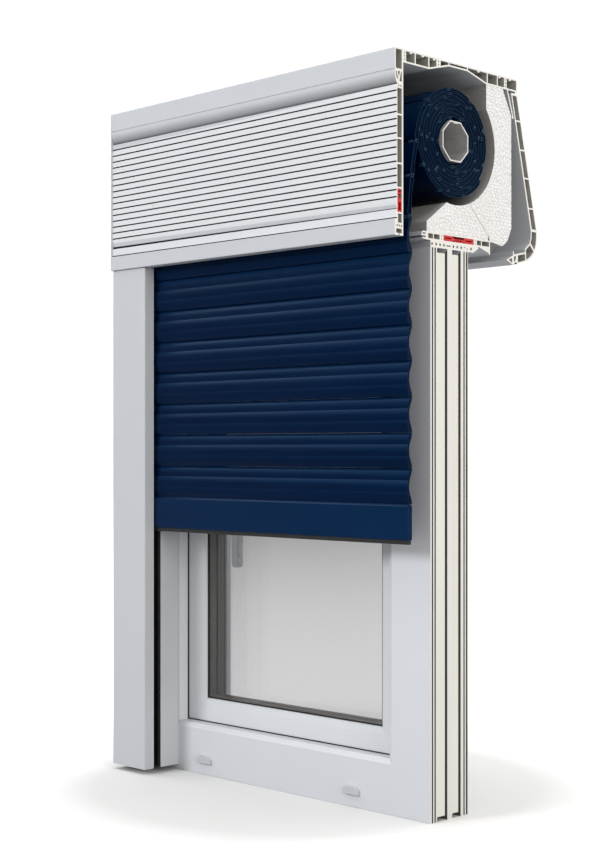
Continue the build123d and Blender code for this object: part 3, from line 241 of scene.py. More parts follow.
EPS = Shader("eps_foam", (0.86, 0.865, 0.875), 0.85, Specular_IOR_Level=0.25)
EPS.tint(EPS.span(EPS.cells(260.0, feature="DISTANCE_TO_EDGE"), 0.12, 0.0), (0.70, 0.70, 0.715), 0.8)
EPS.bump(EPS.cells(260.0), 0.5, 0.0008)
RED = Shader("red_stiffener", (0.72, 0.022, 0.028), 0.45, Specular_IOR_Level=0.4)
RED.tint(RED.span(RED.noise(220.0, 3.0), 0.4, 0.7), (0.50, 0.012, 0.016), 0.6)
RED.bump(RED.noise(900.0, 3.0), 0.2, 0.0004)
RUBBER = Shader("black_rubber", (0.012, 0.012, 0.013), 0.6, Specular_IOR_Level=0.35)
RUBBER.tint(RUBBER.span(RUBBER.noise(200.0, 4.0), 0.45, 0.75), (0.03, 0.03, 0.032), 0.6)
RUBBER.bump(RUBBER.noise(900.0, 3.0), 0.2, 0.0004)
BRUSH = Shader("black_brush", (0.008, 0.008, 0.009), 0.9, Specular_IOR_Level=0.2, Sheen_Weight=0.3)
BRUSH.tint(BRUSH.span(BRUSH.noise(1500.0, 3.0, (1, 0.1, 1)), 0.4, 0.7), (0.03, 0.03, 0.03), 0.8)
BRUSH.bump(BRUSH.noise(2500.0, 2.0, (1, 0.1, 1)), 0.8, 0.0008)
CREAM = Shader("cream_strip", (0.88, 0.865, 0.80), 0.6, Specular_IOR_Level=0.3)
CREAM.tint(CREAM.span(CREAM.noise(30.0, 3.0, (1, 1, 0.1)), 0.35, 0.7), (0.82, 0.80, 0.73), 0.7)
CREAM.bump(CREAM.noise(1200.0, 3.0, (1, 1, 0.05)), 0.12, 0.0004)
SPACER = Shader("spacer_bar", (0.20, 0.195, 0.18), 0.5, Specular_IOR_Level=0.4)
SPACER.tint(SPACER.span(SPACER.noise(400.0, 3.0), 0.4, 0.7), (0.26, 0.25, 0.235), 0.7)
SPACER.bump(SPACER.noise(1800.0, 2.0), 0.2, 0.0003)
GLASS = Shader("window_glass", (0.93, 0.93, 0.935), 0.0, Transmission_Weight=1.0, IOR=1.45)
GLASS.rough(GLASS.noise(4.0, 1.0), 0.0, 0.02)


def metal(name, colour, shade, roughness, grain=(1, 1, 1), scale=300.0):
    """Worked metal: streaks or spangle in colour and roughness."""
    made = Shader(name, colour, roughness, Metallic=0.85)
    made.tint(made.span(made.noise(scale, 4.0, grain), 0.35, 0.7), shade, 0.7)
    made.rough(made.noise(scale * 1.7, 3.0, grain), roughness - 0.08, roughness + 0.12)
    return made.bump(made.noise(scale * 4, 2.0, grain), 0.12, 0.0003)


TUBE_STEEL = Shader("galvanised_steel", (0.62, 0.62, 0.61), 0.42, Metallic=0.35)
TUBE_STEEL.tint(TUBE_STEEL.span(TUBE_STEEL.cells(120.0, output="Color"), 0.2, 0.8), (0.50, 0.50, 0.50), 0.5)
TUBE_STEEL.rough(TUBE_STEEL.noise(200.0, 3.0), 0.36, 0.5)
TUBE_STEEL.bump(TUBE_STEEL.noise(900.0, 2.0, (0.1, 1, 1)), 0.1, 0.0003)
TUBE_EDGE = Shader("steel_cut_edge", (0.88, 0.88, 0.86), 0.4, Metallic=0.2)
TUBE_EDGE.tint(TUBE_EDGE.span(TUBE_EDGE.noise(500.0, 3.0), 0.45, 0.7), (0.70, 0.70, 0.68), 0.7)
TUBE_EDGE.bump(TUBE_EDGE.noise(1500.0, 2.0), 0.2, 0.0003)
SCREW = metal("zinc_screw", (0.66, 0.66, 0.66), (0.5, 0.5, 0.5), 0.3)
SPRING = metal("spring_steel", (0.20, 0.20, 0.22), (0.12, 0.12, 0.13), 0.35, (0.1, 1, 1))
FITTING = metal("fitting_zinc", (0.58, 0.59, 0.60), (0.45, 0.46, 0.47), 0.35, (1, 1, 0.1))
HANDLE = metal("handle_metal", (0.55, 0.55, 0.54), (0.45, 0.45, 0.44), 0.33, (1, 1, 0.08))
PLASTIC = Shader("black_plastic", (0.018, 0.018, 0.02), 0.5, Specular_IOR_Level=0.4)
PLASTIC.tint(PLASTIC.span(PLASTIC.noise(150.0, 3.0), 0.4, 0.7), (0.035, 0.035, 0.037), 0.6)
PLASTIC.bump(PLASTIC.cells(1600.0), 0.3, 0.0002)
MOTOR = Shader("motor_paint", (0.36, 0.37, 0.38), 0.4, Metallic=0.3)
MOTOR.tint(MOTOR.span(MOTOR.noise(80.0, 3.0, (0.2, 1, 1)), 0.4, 0.7), (0.28, 0.29, 0.30), 0.6)
MOTOR.bump(MOTOR.noise(1500.0, 3.0), 0.15, 0.0002)
BY_SLOT = {
    "white_pvc": WHITE, "hinge_cover": WHITE, "red_stiffener": RED, "eps_foam": EPS,
    "black_rubber": RUBBER, "black_brush": BRUSH, "black_plastic": PLASTIC, "motor_paint": MOTOR,
    "galvanised_steel": TUBE_STEEL, "zinc_screw": SCREW, "spring_steel": SPRING,
    "fitting_zinc": FITTING, "handle_metal": HANDLE, "navy_slat": NAVY, "navy_end_slat": END_BAR,
    "cream_strip": CREAM, "window_glass": GLASS, "spacer_bar": SPACER}


# ---- CAD nodes that stay -------------------------------------------------------------------------
# The rays find closed chambers, whose walls get painted shade; the spans below pick faces for painted shade
# in grooves, cove and channels and painted light on the lands.
RAYS = 12                                # directions tried from a wall
CHAMBER_REACH = 0.06                     # a chamber's walls are nearer than this, in metres
RIB_DEPTH, GROOVE_DEPTH, WALL_DEPTH = 1.2, 2.9, 7.2    # behind the front panel's outermost face, in mm
RIB_DROP = (58, 247)                     # drops below the top of the box, in mm
GROOVE_DROPS = ((60, 216), (229.6, 231.6), (242.4, 247))
COVE_DROP = (31.7, 53.4)
CHANNEL_DEPTH = (0.3, 6.5)               # behind the frame's outer side, in mm


def within(value, span):
    return span[0] < value < span[1]


def sort_faces(obj):
    """White profiles: sawn faces get a material of their own, and the walls of closed chambers a darker
    one, painted shade inside them.
    """
    mesh = obj.data
    tree = BVHTree.FromPolygons([v.co for v in mesh.vertices], [list(p.vertices) for p in mesh.polygons])
    high = max(v.co.x for v in mesh.vertices)
    turns = np.linspace(0.2, 2 * pi + 0.2, RAYS, endpoint=False)
    around = [Vector((0, cos(turn), sin(turn))) for turn in turns]
    for face in mesh.polygons:
        if face.normal.x > 0.95 and face.center.x > high - 1e-5:
            face.material_index = 1
        elif abs(face.normal.x) < 0.3:
            start = face.center + face.normal * 2e-4
            near = [tree.ray_cast(start, way, CHAMBER_REACH)[0] is not None for way in around]
            if all(near):
                face.material_index = 2


def shade_grooves(obj):
    """Front panel: grooves and cove get darker materials, painted shade, and the lands between grooves a
    paler one, painted light.
    """
    top = CAD_HI.z
    for face in obj.data.polygons:
        drop = (top - face.center.z) / MM
        deep = (face.center.y - CAD_LO.y) / MM
        if face.material_index or deep > WALL_DEPTH or abs(face.normal.x) > 0.5:
            continue
        if GROOVE_DEPTH < deep and any(within(drop, span) for span in GROOVE_DROPS):
            face.material_index = 3
        elif RIB_DEPTH < deep < GROOVE_DEPTH and within(drop, RIB_DROP):
            face.material_index = 5
        elif within(drop, COVE_DROP):
            face.material_index = 4


def shade_channels(obj):
    """Frame members: channels in the outer side get a darker material, painted shade, and its right face a
    paler one, painted light.
    """
    lo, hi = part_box("frame_sill")
    for face in obj.data.polygons:
        middle = face.center
        deep = min(CAD_HI.x - middle.x, middle.x - CAD_LO.x, middle.z) / MM
        if within(deep, CHANNEL_DEPTH) and lo.y + MM < middle.y < hi.y - MM:
            face.material_index = 1
        elif face.normal.x > 0.95 and deep < CHANNEL_DEPTH[0]:
            face.material_index = 2


def shade_slot(obj):
    """Guide rail: the walls of the slot that the curtain runs in are painted dark: painted shade in the
    slot.
    """
    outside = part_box("guide_rail")[0].x + MM
    for face in obj.data.polygons:
        inside = face.center.x > outside and abs(face.normal.z) < 0.5
        if inside and SLOT_FRONT < (face.center.y - FRONT_Y) / MM < SLOT_BACK:
            face.material_index = 1


def dress_nodes():
    """Give every CAD node its material and smooth its round faces."""
    slots = {part["node"]: part["material_slot"] for part in frame["record"]["subparts"]}
    plain = {"box_end_cap", "box_front_insert", "box_base_insert"}
    cut = {name for name in NODES if name.startswith("box_")} | {"coupling_strip", "inspection_cover"}
    for name, obj in NODES.items():
        obj.data.materials.clear()
        shader = BY_SLOT[slots[name]]
        # Frame and sash take the paler copy of the white PVC: painted light.
        if shader is WHITE and name.startswith(("frame_", "sash_")):
            shader = FRAME_PAINTED_LIGHT
        obj.data.materials.append(shader.material)
        if name in cut - plain:
            obj.data.materials.append(SAWN.material)
            obj.data.materials.append(INNER.material)
            sort_faces(obj)
        if name == "box_front_panel":
            obj.data.materials.append(GROOVE.material)
            obj.data.materials.append(COVE.material)
            obj.data.materials.append(LAND_PAINTED_LIGHT.material)
            shade_grooves(obj)
        if name == "guide_rail":
            obj.data.materials.append(GROOVE.material)
            shade_slot(obj)
        if name in ("frame_left_jamb", "frame_right_jamb", "frame_sill"):
            obj.data.materials.append(CHANNEL.material)
            obj.data.materials.append(SIDE_PAINTED_LIGHT.material)
            shade_channels(obj)
        obj.data.shade_smooth()
        obj.data.set_sharp_from_angle(angle=radians(32))


dress_nodes()


# ---- building helpers ----------------------------------------------------------------------------
def new_piece(name, verts, faces, shaders, body, picks=None, smooth=30):
    """A mesh object from points and faces, riding on a body."""
    mesh = bpy.data.meshes.new(name)
    mesh.from_pydata([tuple(map(float, v)) for v in verts], [], [tuple(map(int, f)) for f in faces])
    mesh.validate()
    for shader in shaders:
        mesh.materials.append(shader.material)
    if picks is not None:
        mesh.polygons.foreach_set("material_index", np.array(picks, np.int32))
    mesh.shade_smooth()
    mesh.set_sharp_from_angle(angle=radians(smooth))
    mesh.update()
    obj = bpy.data.objects.new(name, mesh)
    bpy.context.scene.collection.objects.link(obj)
    if body:
        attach(obj, body)
    return obj


class Build:
    """Points and faces of one piece. Sections are (Y, Z) in mm, x is from the sawn end."""

    def __init__(self):
        self.verts, self.faces, self.picks = [], [], []

    def points(self, found):
        start = len(self.verts)
        self.verts += found
        return list(range(start, len(self.verts)))

    def face(self, corners, pick=0):
        self.faces.append(corners)
        self.picks.append(pick)

    def walls(self, near, far, pick=0):
        for a, b, c, d in zip(near, near[1:] + near[:1], far[1:] + far[:1], far):
            self.face((a, b, c, d), pick)

    def bar(self, section, x0, x1, side=0, end=0):
        """A solid bar. The section runs anticlockwise seen from the sawn end."""
        left = self.points([spot(y, z, x0) for y, z in section])
        right = self.points([spot(y, z, x1) for y, z in section])
        self.walls(right, left, side)
        self.face(list(right), end)
        self.face(list(reversed(left)), side)

    def shell(self, outer, inner, x0, x1, deep, side=0, end=1, core=2):
        """A bar whose end shows a thin wall round a core that stands back."""
        left = self.points([spot(y, z, x0) for y, z in outer])
        right = self.points([spot(y, z, x1) for y, z in outer])
        rim = self.points([spot(y, z, x1) for y, z in inner])
        floor = self.points([spot(y, z, x1 - deep) for y, z in inner])
        self.walls(right, left, side)
        self.walls(rim, right, end)
        self.walls(floor, rim, core)
        self.face(list(floor), core)
        self.face(list(reversed(left)), side)

    def piece(self, name, shaders, body, slot, smooth=30):
        return new_piece(name, self.verts, self.faces, shaders, body, self.picks, smooth)


def inset(section, width):
    """Move a section's outline inwards by a width."""
    found = []
    count = len(section)
    for i, (y, z) in enumerate(section):
        before = Vector(section[i - 1]) - Vector((y, z))
        after = Vector(section[(i + 1) % count]) - Vector((y, z))
        before, after = before.normalized(), after.normalized()
        away = Vector((-(after - before).y, (after - before).x))
        away = away.normalized() if away.length > 1e-6 else Vector((0, 0))
        half = before.angle(after) / 2
        reach = min(width / max(sin(half), 0.3), width * 2.2)
        found.append((y + away.x * reach, z + away.y * reach))
    return found


# ---- curtain -------------------------------------------------------------------------------------
SLAT_LO, SLAT_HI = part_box("slat_1")
CURTAIN_Y = (SLAT_LO.y + SLAT_HI.y) / 2 / MM - FRONT_Y / MM
SLAT_FOOT = round(SLAT_LO.z / MM)
PITCH = 52.0
SLAT_LEFT = (SLAT_LO.x - OPEN_X) / MM
CLOSING = 404.0                                 # the curtain's travel down from rest
FACET_TILTS = ((-20, 14), (-8, 30), (-2, 42))   # lean of each facet's foot and top, in degrees
FACET_STEPS = 6
SLATS = 16
STANDS_FOR = {0: "slat_1", 1: "slat_2", 3: "slat_3", 5: "upper_slats"}
FACE_FOOT = -2.4                                # the face's foot, from the curtain's middle
WAVE_LOW, WAVE_HIGH = -0.4, 6.0                 # inner side between the joints and at them


def slat_section(foot, trim=0.0, bulge=1.0):
    """Hanging slat: three crowned facets outside, each flattening upwards, and one long wave inside."""
    facet = (PITCH - 0.2) / len(FACET_TILTS)
    y, z = FACE_FOOT, 0.1
    found = [(y, z)]
    for low, high in FACET_TILTS:
        for i in range(FACET_STEPS):
            tilt = low + (high - low) * ((i + 0.5) / FACET_STEPS) ** 1.6
            z += facet / FACET_STEPS
            y += tan(radians(tilt)) * facet / FACET_STEPS
            found.append((y, z))
    for i in range(13):
        z = PITCH - 0.1 - (PITCH - 0.2) * i / 12
        wave = ((1 + cos(2 * pi * z / PITCH)) / 2) ** 1.3
        found.append((WAVE_LOW + (WAVE_HIGH - WAVE_LOW) * wave, z))
    found = [(y * bulge, z) for y, z in found]
    if trim:
        found = [(y * (1 - trim / 6), 26 + (z - 26) * (1 - trim / 26)) for y, z in found]
    return [(CURTAIN_Y + y, foot + z) for y, z in reversed(found)]


def curtain():
    """The slats seen at rest, and the ones that come out of the box as the curtain goes down."""
    for number in range(SLATS):
        place = (number + 1) // 2
        twin = number % 2 == 0 and number > 0
        share = min(1.0, max(0.0, 1 - PITCH * (number - place) / CLOSING))
        build = Build()
        if number == SLATS - 1:
            section = slat_section(SLAT_FOOT + 7 * PITCH, 1.2, 0.9)
            build.bar(section, SLAT_LEFT, -0.8, 0, 1)
            share = 0.0
        else:
            section = slat_section(SLAT_FOOT + place * PITCH, 0.45 if twin else 0.0)
            build.bar(section, SLAT_LEFT, -0.4 if twin else 0.0, 0, 1)
        rigid = share >= 1.0
        body = "curtain" if rigid else None
        piece = build.piece(f"slat_row_{number + 1}", [NAVY, NAVY], body, "navy_slat", 14)
        if number in STANDS_FOR:
            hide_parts(STANDS_FOR[number])
        if not rigid:
            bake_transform(piece)


curtain()


def link_section(a, b, thick, sag=0.0):
    """A slat between two joints, given as (Y, Z), bowed sideways by sag."""
    a, b = Vector(a), Vector(b)
    along = (b - a).normalized()
    side = Vector((-along.y, along.x))
    half = thick / 2
    steps = [0.02, 0.06, 0.14, 0.3, 0.5, 0.7, 0.86, 0.94, 0.98]
    swell = [0.5, 0.95, 0.9, 0.72, 0.66, 0.72, 0.9, 0.95, 0.5]
    one, two = [], []
    for t, s in zip(steps, swell):
        centre = a.lerp(b, t) + side * (sag * 4 * t * (1 - t))
        one.append(centre + side * half * s)
        two.append(centre - side * half * s)
    return [tuple(p) for p in one + two[::-1]]


def curl(build, centre, radius, turn, x0, x1, pick):
    """An open hook where two slats lock together, seen on the cut end."""
    outer, inner = [], []
    for step in range(9):
        angle = turn + step * radians(285) / 8
        outer.append((centre[0] + radius * cos(angle), centre[1] + radius * sin(angle)))
        inner.append((centre[0] + (radius - 0.75) * cos(angle), centre[1] + (radius - 0.75) * sin(angle)))
    build.bar(outer + inner[::-1], x0, x1, pick, pick)


def lead_in():
    """Slats on their way from the hanging curtain to the roll."""
    joints = [(CURTAIN_Y, SLAT_FOOT + 8 * PITCH), (34.0, 945.0), (43.5, 996.0), (62.0, 1050.0)]
    build = Build()
    for a, b, sag in zip(joints, joints[1:], (1.0, 1.6, 5.0)):
        section = link_section(a, b, 7.6, sag)
        build.shell(section, inset(section, 0.8), -609, -0.2, 2.0)
    for joint in joints[:-1]:
        curl(build, joint, 2.9, radians(20), -14, -0.05, 3)
    piece = build.piece("lead_in_curtain", [NAVY, NAVY_EDGE, NAVY_CORE, HOOK], "unit", "navy_slat")
    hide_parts("lead_in_slats")


lead_in()

# ---- roll ----------------------------------------------------------------------------------------
TUBE_LO, TUBE_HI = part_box("octagon_tube")
SHAFT_Y = ((TUBE_LO.y + TUBE_HI.y) / 2 - FRONT_Y) / MM
SHAFT_Z = (TUBE_LO.z + TUBE_HI.z) / 2 / MM
ROLL_LO, ROLL_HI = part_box("wound_curtain")
ROLL_END = (ROLL_HI.x - OPEN_X) / MM
ROLL_FROM = (ROLL_LO.x - OPEN_X) / MM
ROLL_R = (ROLL_HI.z - ROLL_LO.z) / 2 / MM
LAYER = 6.15
INNER_R = 34.6


def roll():
    """The wound curtain as a spiral of hooked slats."""
    build = Build()
    angle = radians(100)
    radius = INNER_R
    outermost = ROLL_R + 0.6
    while True:
        step = PITCH / radius
        grown = radius + LAYER * step / (2 * pi)
        if grown > outermost:
            break
        outer, inner = [], []
        sag = radius * (1 - cos(step / 2))
        half = 2.45
        for i in range(9):
            t = 0.03 + 0.94 * i / 8
            a = angle + step * t
            r = radius + (grown - radius) * t
            flat = 0.16 * sag * (1 - (2 * t - 1) ** 2) * 0.5
            pinch = half * (1.0 if 0 < i < 8 else 0.45)
            outer.append((SHAFT_Y + (r - flat + pinch) * cos(a), SHAFT_Z + (r - flat + pinch) * sin(a)))
            inner.append((SHAFT_Y + (r - flat - pinch) * cos(a), SHAFT_Z + (r - flat - pinch) * sin(a)))
        section = outer + inner[::-1]
        end = ROLL_END - rng.uniform(0.0, 0.5)
        build.shell(section, inset(section, 0.7), ROLL_FROM, end, 1.8)
        r = radius + 0.2
        joint = (SHAFT_Y + r * cos(angle), SHAFT_Z + r * sin(angle))
        size = rng.uniform(2.2, 2.9)
        turn = angle + rng.uniform(-1.4, 1.4)
        curl(build, joint, size, turn, ROLL_END - 9, end + 0.02, 3)
        angle += step
        radius = grown
    piece = build.piece("slat_roll", [NAVY, NAVY_EDGE, NAVY_CORE, HOOK], "winding_tube", "navy_slat")
    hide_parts("wound_curtain")


roll()


# ---- winding tube --------------------------------------------------------------------------------
def octagon(radius, soften):
    """Corners of the tube's section, each rounded a little."""
    found = []
    for corner in range(8):
        a = radians(22.5 + 45 * corner)
        for shift in (-soften, 0, soften):
            pull = 1.0 if shift else 1.012
            reach = radius * pull
            found.append((SHAFT_Y + reach * cos(a + shift), SHAFT_Z + reach * sin(a + shift)))
    return found


def circle(y, z, radius, sides):
    """A round section about a centre."""
    turns = np.linspace(0, 2 * pi, sides, endpoint=False)
    return [(y + radius * cos(a), z + radius * sin(a)) for a in turns]


def tube():
    """Octagonal tube with a rolled lock seam on its top flat."""
    across = (TUBE_HI.z - TUBE_LO.z) / MM
    big = across / 2 / cos(radians(22.5))
    wall = 1.9
    outer = octagon(big / 1.012, 0.03)
    inner = octagon((big - wall / cos(radians(22.5))) / 1.012, 0.03)
    length = (TUBE_LO.x - OPEN_X) / MM
    build = Build()
    left_out = build.points([spot(y, z, length) for y, z in outer])
    left_in = build.points([spot(y, z, length) for y, z in inner])
    right_out = build.points([spot(y, z, 0) for y, z in outer])
    right_in = build.points([spot(y, z, 0) for y, z in inner])
    build.walls(right_out, left_out, 0)
    build.walls(left_in, right_in, 0)
    build.walls(right_in, right_out, 1)
    build.walls(left_out, left_in, 0)
    top = SHAFT_Z + across / 2
    for y, z, r in ((-3.0, -2.6, 1.25), (0.4, -2.0, 1.5), (3.6, -2.8, 1.2)):
        build.bar(circle(SHAFT_Y + y, top + z, r, 12), length, -0.02, 0, 1)
    # Two black rubber rods in the seam stand in for the shade in its gaps: painted shade.
    for y, z in ((-1.3, -2.6), (2.1, -2.7)):
        build.bar(circle(SHAFT_Y + y, top + z, 0.75, 10), -3.0, -0.01, 2, 2)
    shaders = [TUBE_STEEL, TUBE_EDGE, RUBBER]
    piece = build.piece("winding_tube_shell", shaders, "winding_tube", "galvanised_steel")
    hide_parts("octagon_tube")


tube()


# ---- insulation ----------------------------------------------------------------------------------
def cut_outline(name):
    """The outline of a CAD node's sawn end, as (Y, Z) in mm, anticlockwise."""
    mesh = NODES[name].data
    high = max(v.co.x for v in mesh.vertices)
    count, spots = {}, {}
    for face in mesh.polygons:
        if face.normal.x > 0.95 and face.center.x > high - 1e-5:
            ids = []
            for v in face.vertices:
                co = mesh.vertices[v].co
                ids.append((round((co.y - FRONT_Y) / MM, 3), round(co.z / MM, 3)))
            for a, b in zip(ids, ids[1:] + ids[:1]):
                count[(a, b)] = count.get((a, b), 0) + 1
    edges = {a: b for a, b in count if (b, a) not in count}
    start = next(iter(edges))
    loop, here = [start], edges[start]
    while here != start:
        loop.append(here)
        here = edges[here]
    return loop


def swirl(y, z):
    """Direction of the bead rows across the cut, in radians."""
    return 0.9 * np.sin(y / 41.0 + 0.7) + 0.8 * np.cos(z / 37.0 + y / 60.0) + 0.5


def bead_height(points):
    """Height of the cut beads, 0 in the seams and 1 on the crowns, from a stretched scatter of centres."""
    lo, hi = points.min(0) - 6, points.max(0) + 6
    centres = []
    for row, z in enumerate(np.arange(lo[1], hi[1], 5.0)):
        for y in np.arange(lo[0] + (row % 2) * 4.2, hi[0], 8.4):
            centres.append((y + rng.uniform(-2.2, 2.2), z + rng.uniform(-1.4, 1.4)))
    centres = np.array(centres)
    turn = swirl(centres[:, 0], centres[:, 1])
    height = np.zeros(len(points))
    tone = np.zeros(len(points))
    shade = rng.uniform(0, 1, len(centres))
    for first in range(0, len(points), 4000):
        part = points[first:first + 4000]
        d = part[:, None, :] - centres[None, :, :]
        along = d[..., 0] * np.cos(turn) + d[..., 1] * np.sin(turn)
        across = -d[..., 0] * np.sin(turn) + d[..., 1] * np.cos(turn)
        far = np.sqrt((along / 1.7) ** 2 + (across * 1.3) ** 2)
        order = np.argpartition(far, 1, axis=1)[:, :2]
        near = np.take_along_axis(far, order, axis=1)
        gap = np.abs(near[:, 0] - near[:, 1])
        height[first:first + 4000] = np.clip(gap / 2.2, 0, 1)
        tone[first:first + 4000] = shade[np.argmin(far, axis=1)]
    return height, tone


def foam(node, name):
    """Insulation with its sawn beads modelled, and a plain moulded skin elsewhere."""
    loop = cut_outline(node)
    lo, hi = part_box(node)
    dense = []
    for a, b in zip(loop, loop[1:] + loop[:1]):
        steps = max(1, int((Vector(b) - Vector(a)).length / 1.2))
        dense += [tuple(Vector(a).lerp(Vector(b), i / steps)) for i in range(steps)]
    pitch = 1.1
    grid = [(y + (row % 2) * pitch / 2, z)
            for row, z in enumerate(np.arange(lo.z / MM, hi.z / MM, pitch * 0.87))
            for y in np.arange((lo.y - FRONT_Y) / MM, (hi.y - FRONT_Y) / MM, pitch)]
    grid = np.array(grid)
    grid = [tuple(p) for p in grid[clear_of(grid, dense)]]
    rim = len(dense)
    flat = [Vector(p) for p in dense + grid]
    edges = [(i, (i + 1) % rim) for i in range(rim)]
    points, _, faces, _, _, _ = delaunay_2d_cdt(flat, edges, [list(range(rim))], 1, 1e-6)
    points = np.array([tuple(p) for p in points])
    height, tone = bead_height(points)
    border = np.zeros(len(points), bool)
    border[:rim] = True
    depth = np.where(border, 0.45, 0.05 + 1.25 * (1 - height) ** 1.3)
    build = Build()
    top = build.points([spot(y, z, -d) for (y, z), d in zip(points, depth)])
    for face in faces:
        build.face(tuple(top[v] for v in face), 0)
    back = build.points([spot(y, z, (lo.x - OPEN_X) / MM) for y, z in dense])
    build.walls(top[:rim], back, 1)
    build.face(list(reversed(back)), 1)
    piece = build.piece(name, [FOAM_CUT, FOAM_SKIN], "unit", "eps_foam", 60)
    layer = piece.data.color_attributes.new("bead", "FLOAT_COLOR", "POINT")
    values = np.ones((len(piece.data.vertices), 4), np.float32)
    values[:len(points), 0] = height
    values[:len(points), 1] = tone
    layer.data.foreach_set("color", values.ravel())
    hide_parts(node)


def clear_of(points, ring):
    """Which points lie inside a ring of points and not too near its edge."""
    inside = np.zeros(len(points), bool)
    free = np.ones(len(points), bool)
    y, z = points[:, 0], points[:, 1]
    for (ya, za), (yb, zb) in zip(ring, ring[1:] + ring[:1]):
        free &= (ya - y) ** 2 + (za - z) ** 2 > 0.5
        if za != zb:
            crossed = ((za > z) != (zb > z)) & (y < (yb - ya) * (z - za) / (zb - za) + ya)
            inside ^= crossed
    return inside & free


FOAM_SKIN = Shader("eps_skin", (0.40, 0.395, 0.385), 0.8, Specular_IOR_Level=0.25)
FOAM_SKIN.tint(FOAM_SKIN.span(FOAM_SKIN.cells(240.0), 0.2, 0.7), (0.33, 0.325, 0.315), 0.6)
FOAM_SKIN.bump(FOAM_SKIN.cells(240.0), 0.15, 0.0004)
FOAM_CUT = Shader("eps_cut", (0.94, 0.94, 0.94), 0.85, Specular_IOR_Level=0.25)
bead_layer = FOAM_CUT.add("ShaderNodeVertexColor", layer_name="bead")
bead_parts = FOAM_CUT.add("ShaderNodeSeparateColor")
FOAM_CUT.link(bead_layer.outputs["Color"], bead_parts.inputs["Color"])
FOAM_CUT.tint(FOAM_CUT.span(bead_parts.outputs[0], 0.6, 0.0), (0.60, 0.60, 0.61), 0.7)
FOAM_CUT.tint(FOAM_CUT.span(bead_parts.outputs[1], 0.5, 1.0), (0.86, 0.86, 0.87), 0.6)
FOAM_CUT.bump(FOAM_CUT.noise(1500.0, 3.0), 0.2, 0.0004)
foam("eps_rear_shell", "eps_rear_foam")
foam("eps_lower_block", "eps_lower_foam")


# ---- stage, light and camera ---------------------------------------------------------------------
THROUGH_GLASS = 0.18     # how much of the bright surroundings is seen through glass


def by_ray(tree, unseen, seen):
    """Mix two shaders: the camera sees the second, and light that isn't seen comes from the first."""
    path = tree.nodes.new("ShaderNodeLightPath")
    share = tree.nodes.new("ShaderNodeMath")
    share.operation = "MULTIPLY_ADD"
    share.use_clamp = True
    share.inputs[1].default_value = THROUGH_GLASS
    mix = tree.nodes.new("ShaderNodeMixShader")
    tree.links.new(path.outputs["Is Transmission Ray"], share.inputs[0])
    tree.links.new(path.outputs["Is Camera Ray"], share.inputs[2])
    tree.links.new(share.outputs[0], mix.inputs[0])
    tree.links.new(unseen, mix.inputs[1])
    tree.links.new(seen, mix.inputs[2])
    return mix.outputs[0]


def stage():
    """A pale floor."""
    mesh = bpy.data.meshes.new("floor")
    size = 12.0
    corners = [(-size, -size, 0), (size, -size, 0), (size, size, 0), (-size, size, 0)]
    mesh.from_pydata(corners, [], [(0, 1, 2, 3)])
    floor = bpy.data.objects.new("floor", mesh)
    bpy.context.scene.collection.objects.link(floor)
    shader = Shader("floor_white", (0.84, 0.84, 0.84), 0.9, Specular_IOR_Level=0.1)
    shader.tint(shader.span(shader.noise(1.5, 2.0), 0.4, 0.7), (0.82, 0.82, 0.82), 0.5)
    far = shader.add("ShaderNodeVectorMath", operation="LENGTH")
    shader.link(shader.coords, far.inputs[0])
    shader.bsdf.inputs["Emission Color"].default_value = (1, 1, 1, 1)
    shader.link(shader.span(far.outputs["Value"], 0.36, 0.85), shader.bsdf.inputs["Emission Strength"])
    grey = shader.add("ShaderNodeBsdfDiffuse")
    grey.inputs["Color"].default_value = (0.40, 0.40, 0.40, 1)
    mixed = by_ray(shader.tree, grey.outputs[0], shader.bsdf.outputs[0])
    shader.link(mixed, shader.tree.nodes["Material Output"].inputs["Surface"])
    mesh.materials.append(shader.material)


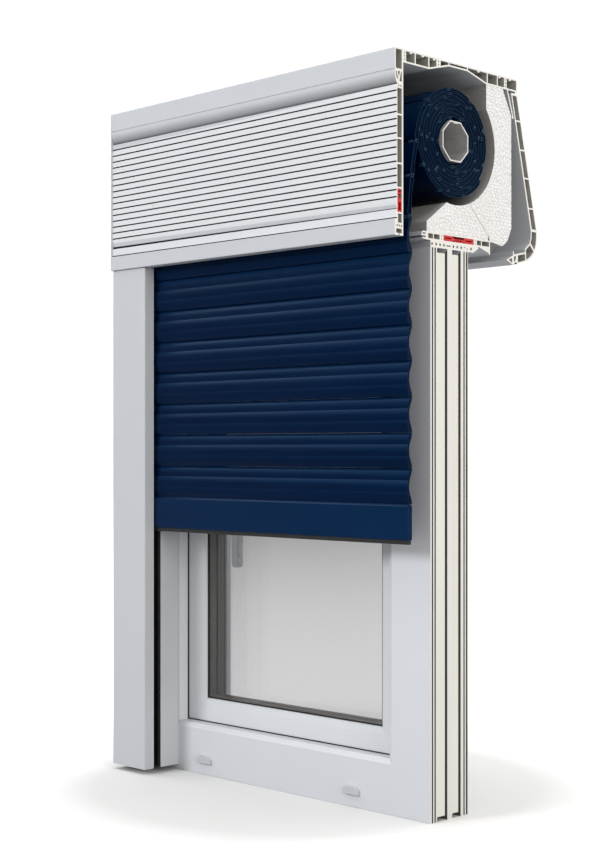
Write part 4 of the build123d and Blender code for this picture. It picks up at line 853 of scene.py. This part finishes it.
def lamp(name, place, aim, size, power, colour=(1, 1, 1)):
    """A square area light at place, pointed at aim."""
    data = bpy.data.lights.new(name, "AREA")
    data.shape = "RECTANGLE"
    data.size, data.size_y = size
    data.energy = power
    data.color = colour
    obj = bpy.data.objects.new(name, data)
    bpy.context.scene.collection.objects.link(obj)
    obj.location = place
    obj.rotation_euler = (Vector(aim) - Vector(place)).to_track_quat("-Z", "Y").to_euler()


def light():
    """An overhead softbox, a key and a rim from the left, and lights on the sawn end and the room side."""
    lamp("overhead", (0.2, 0.6, 4.6), (0, 0, 0.4), (4.0, 4.0), 122)
    lamp("key", (-2.4, -6.8, 3.2), (0, 0, 0.5), (2.2, 2.2), 268, (0.97, 0.985, 1.0))
    lamp("side", (6.0, -1.5, 2.0), (0.3, 0, 0.7), (3.0, 3.0), 165, (1.0, 0.965, 0.91))
    lamp("rim", (-3.2, -1.3, 3.6), (0, 0, 0.6), (2.5, 2.5), 45)
    lamp("back", (1.5, 6.0, 2.6), (0, 0, 0.6), (3.5, 3.5), 120)
    world = bpy.data.worlds.new("studio")
    bpy.context.scene.world = world
    world.use_nodes = True
    tree = world.node_tree
    tree.nodes.clear()
    out = tree.nodes.new("ShaderNodeOutputWorld")
    seen = tree.nodes.new("ShaderNodeBackground")
    seen.inputs["Color"].default_value = (1, 1, 1, 1)
    seen.inputs["Strength"].default_value = 1.1
    filled = tree.nodes.new("ShaderNodeBackground")
    filled.inputs["Color"].default_value = (1, 0.985, 0.96, 1)
    filled.inputs["Strength"].default_value = 0.40
    tree.links.new(by_ray(tree, filled.outputs[0], seen.outputs[0]), out.inputs["Surface"])
    bpy.context.scene.view_settings.view_transform = "Standard"
    bpy.context.scene.view_settings.look = "None"


def camera():
    """The photograph's viewpoint: level, from the right-hand front corner."""
    data = bpy.data.cameras.new("camera")
    data.lens = 65.7
    data.sensor_width = 36.0
    data.shift_y = 0.022
    obj = bpy.data.objects.new("camera", data)
    bpy.context.scene.collection.objects.link(obj)
    obj.location = (1.8114, -1.8594, 0.5475)
    obj.rotation_euler = Vector((-0.7046, 0.7096, 0)).to_track_quat("-Z", "Y").to_euler()
    bpy.context.scene.camera = obj


stage()
light()
camera()
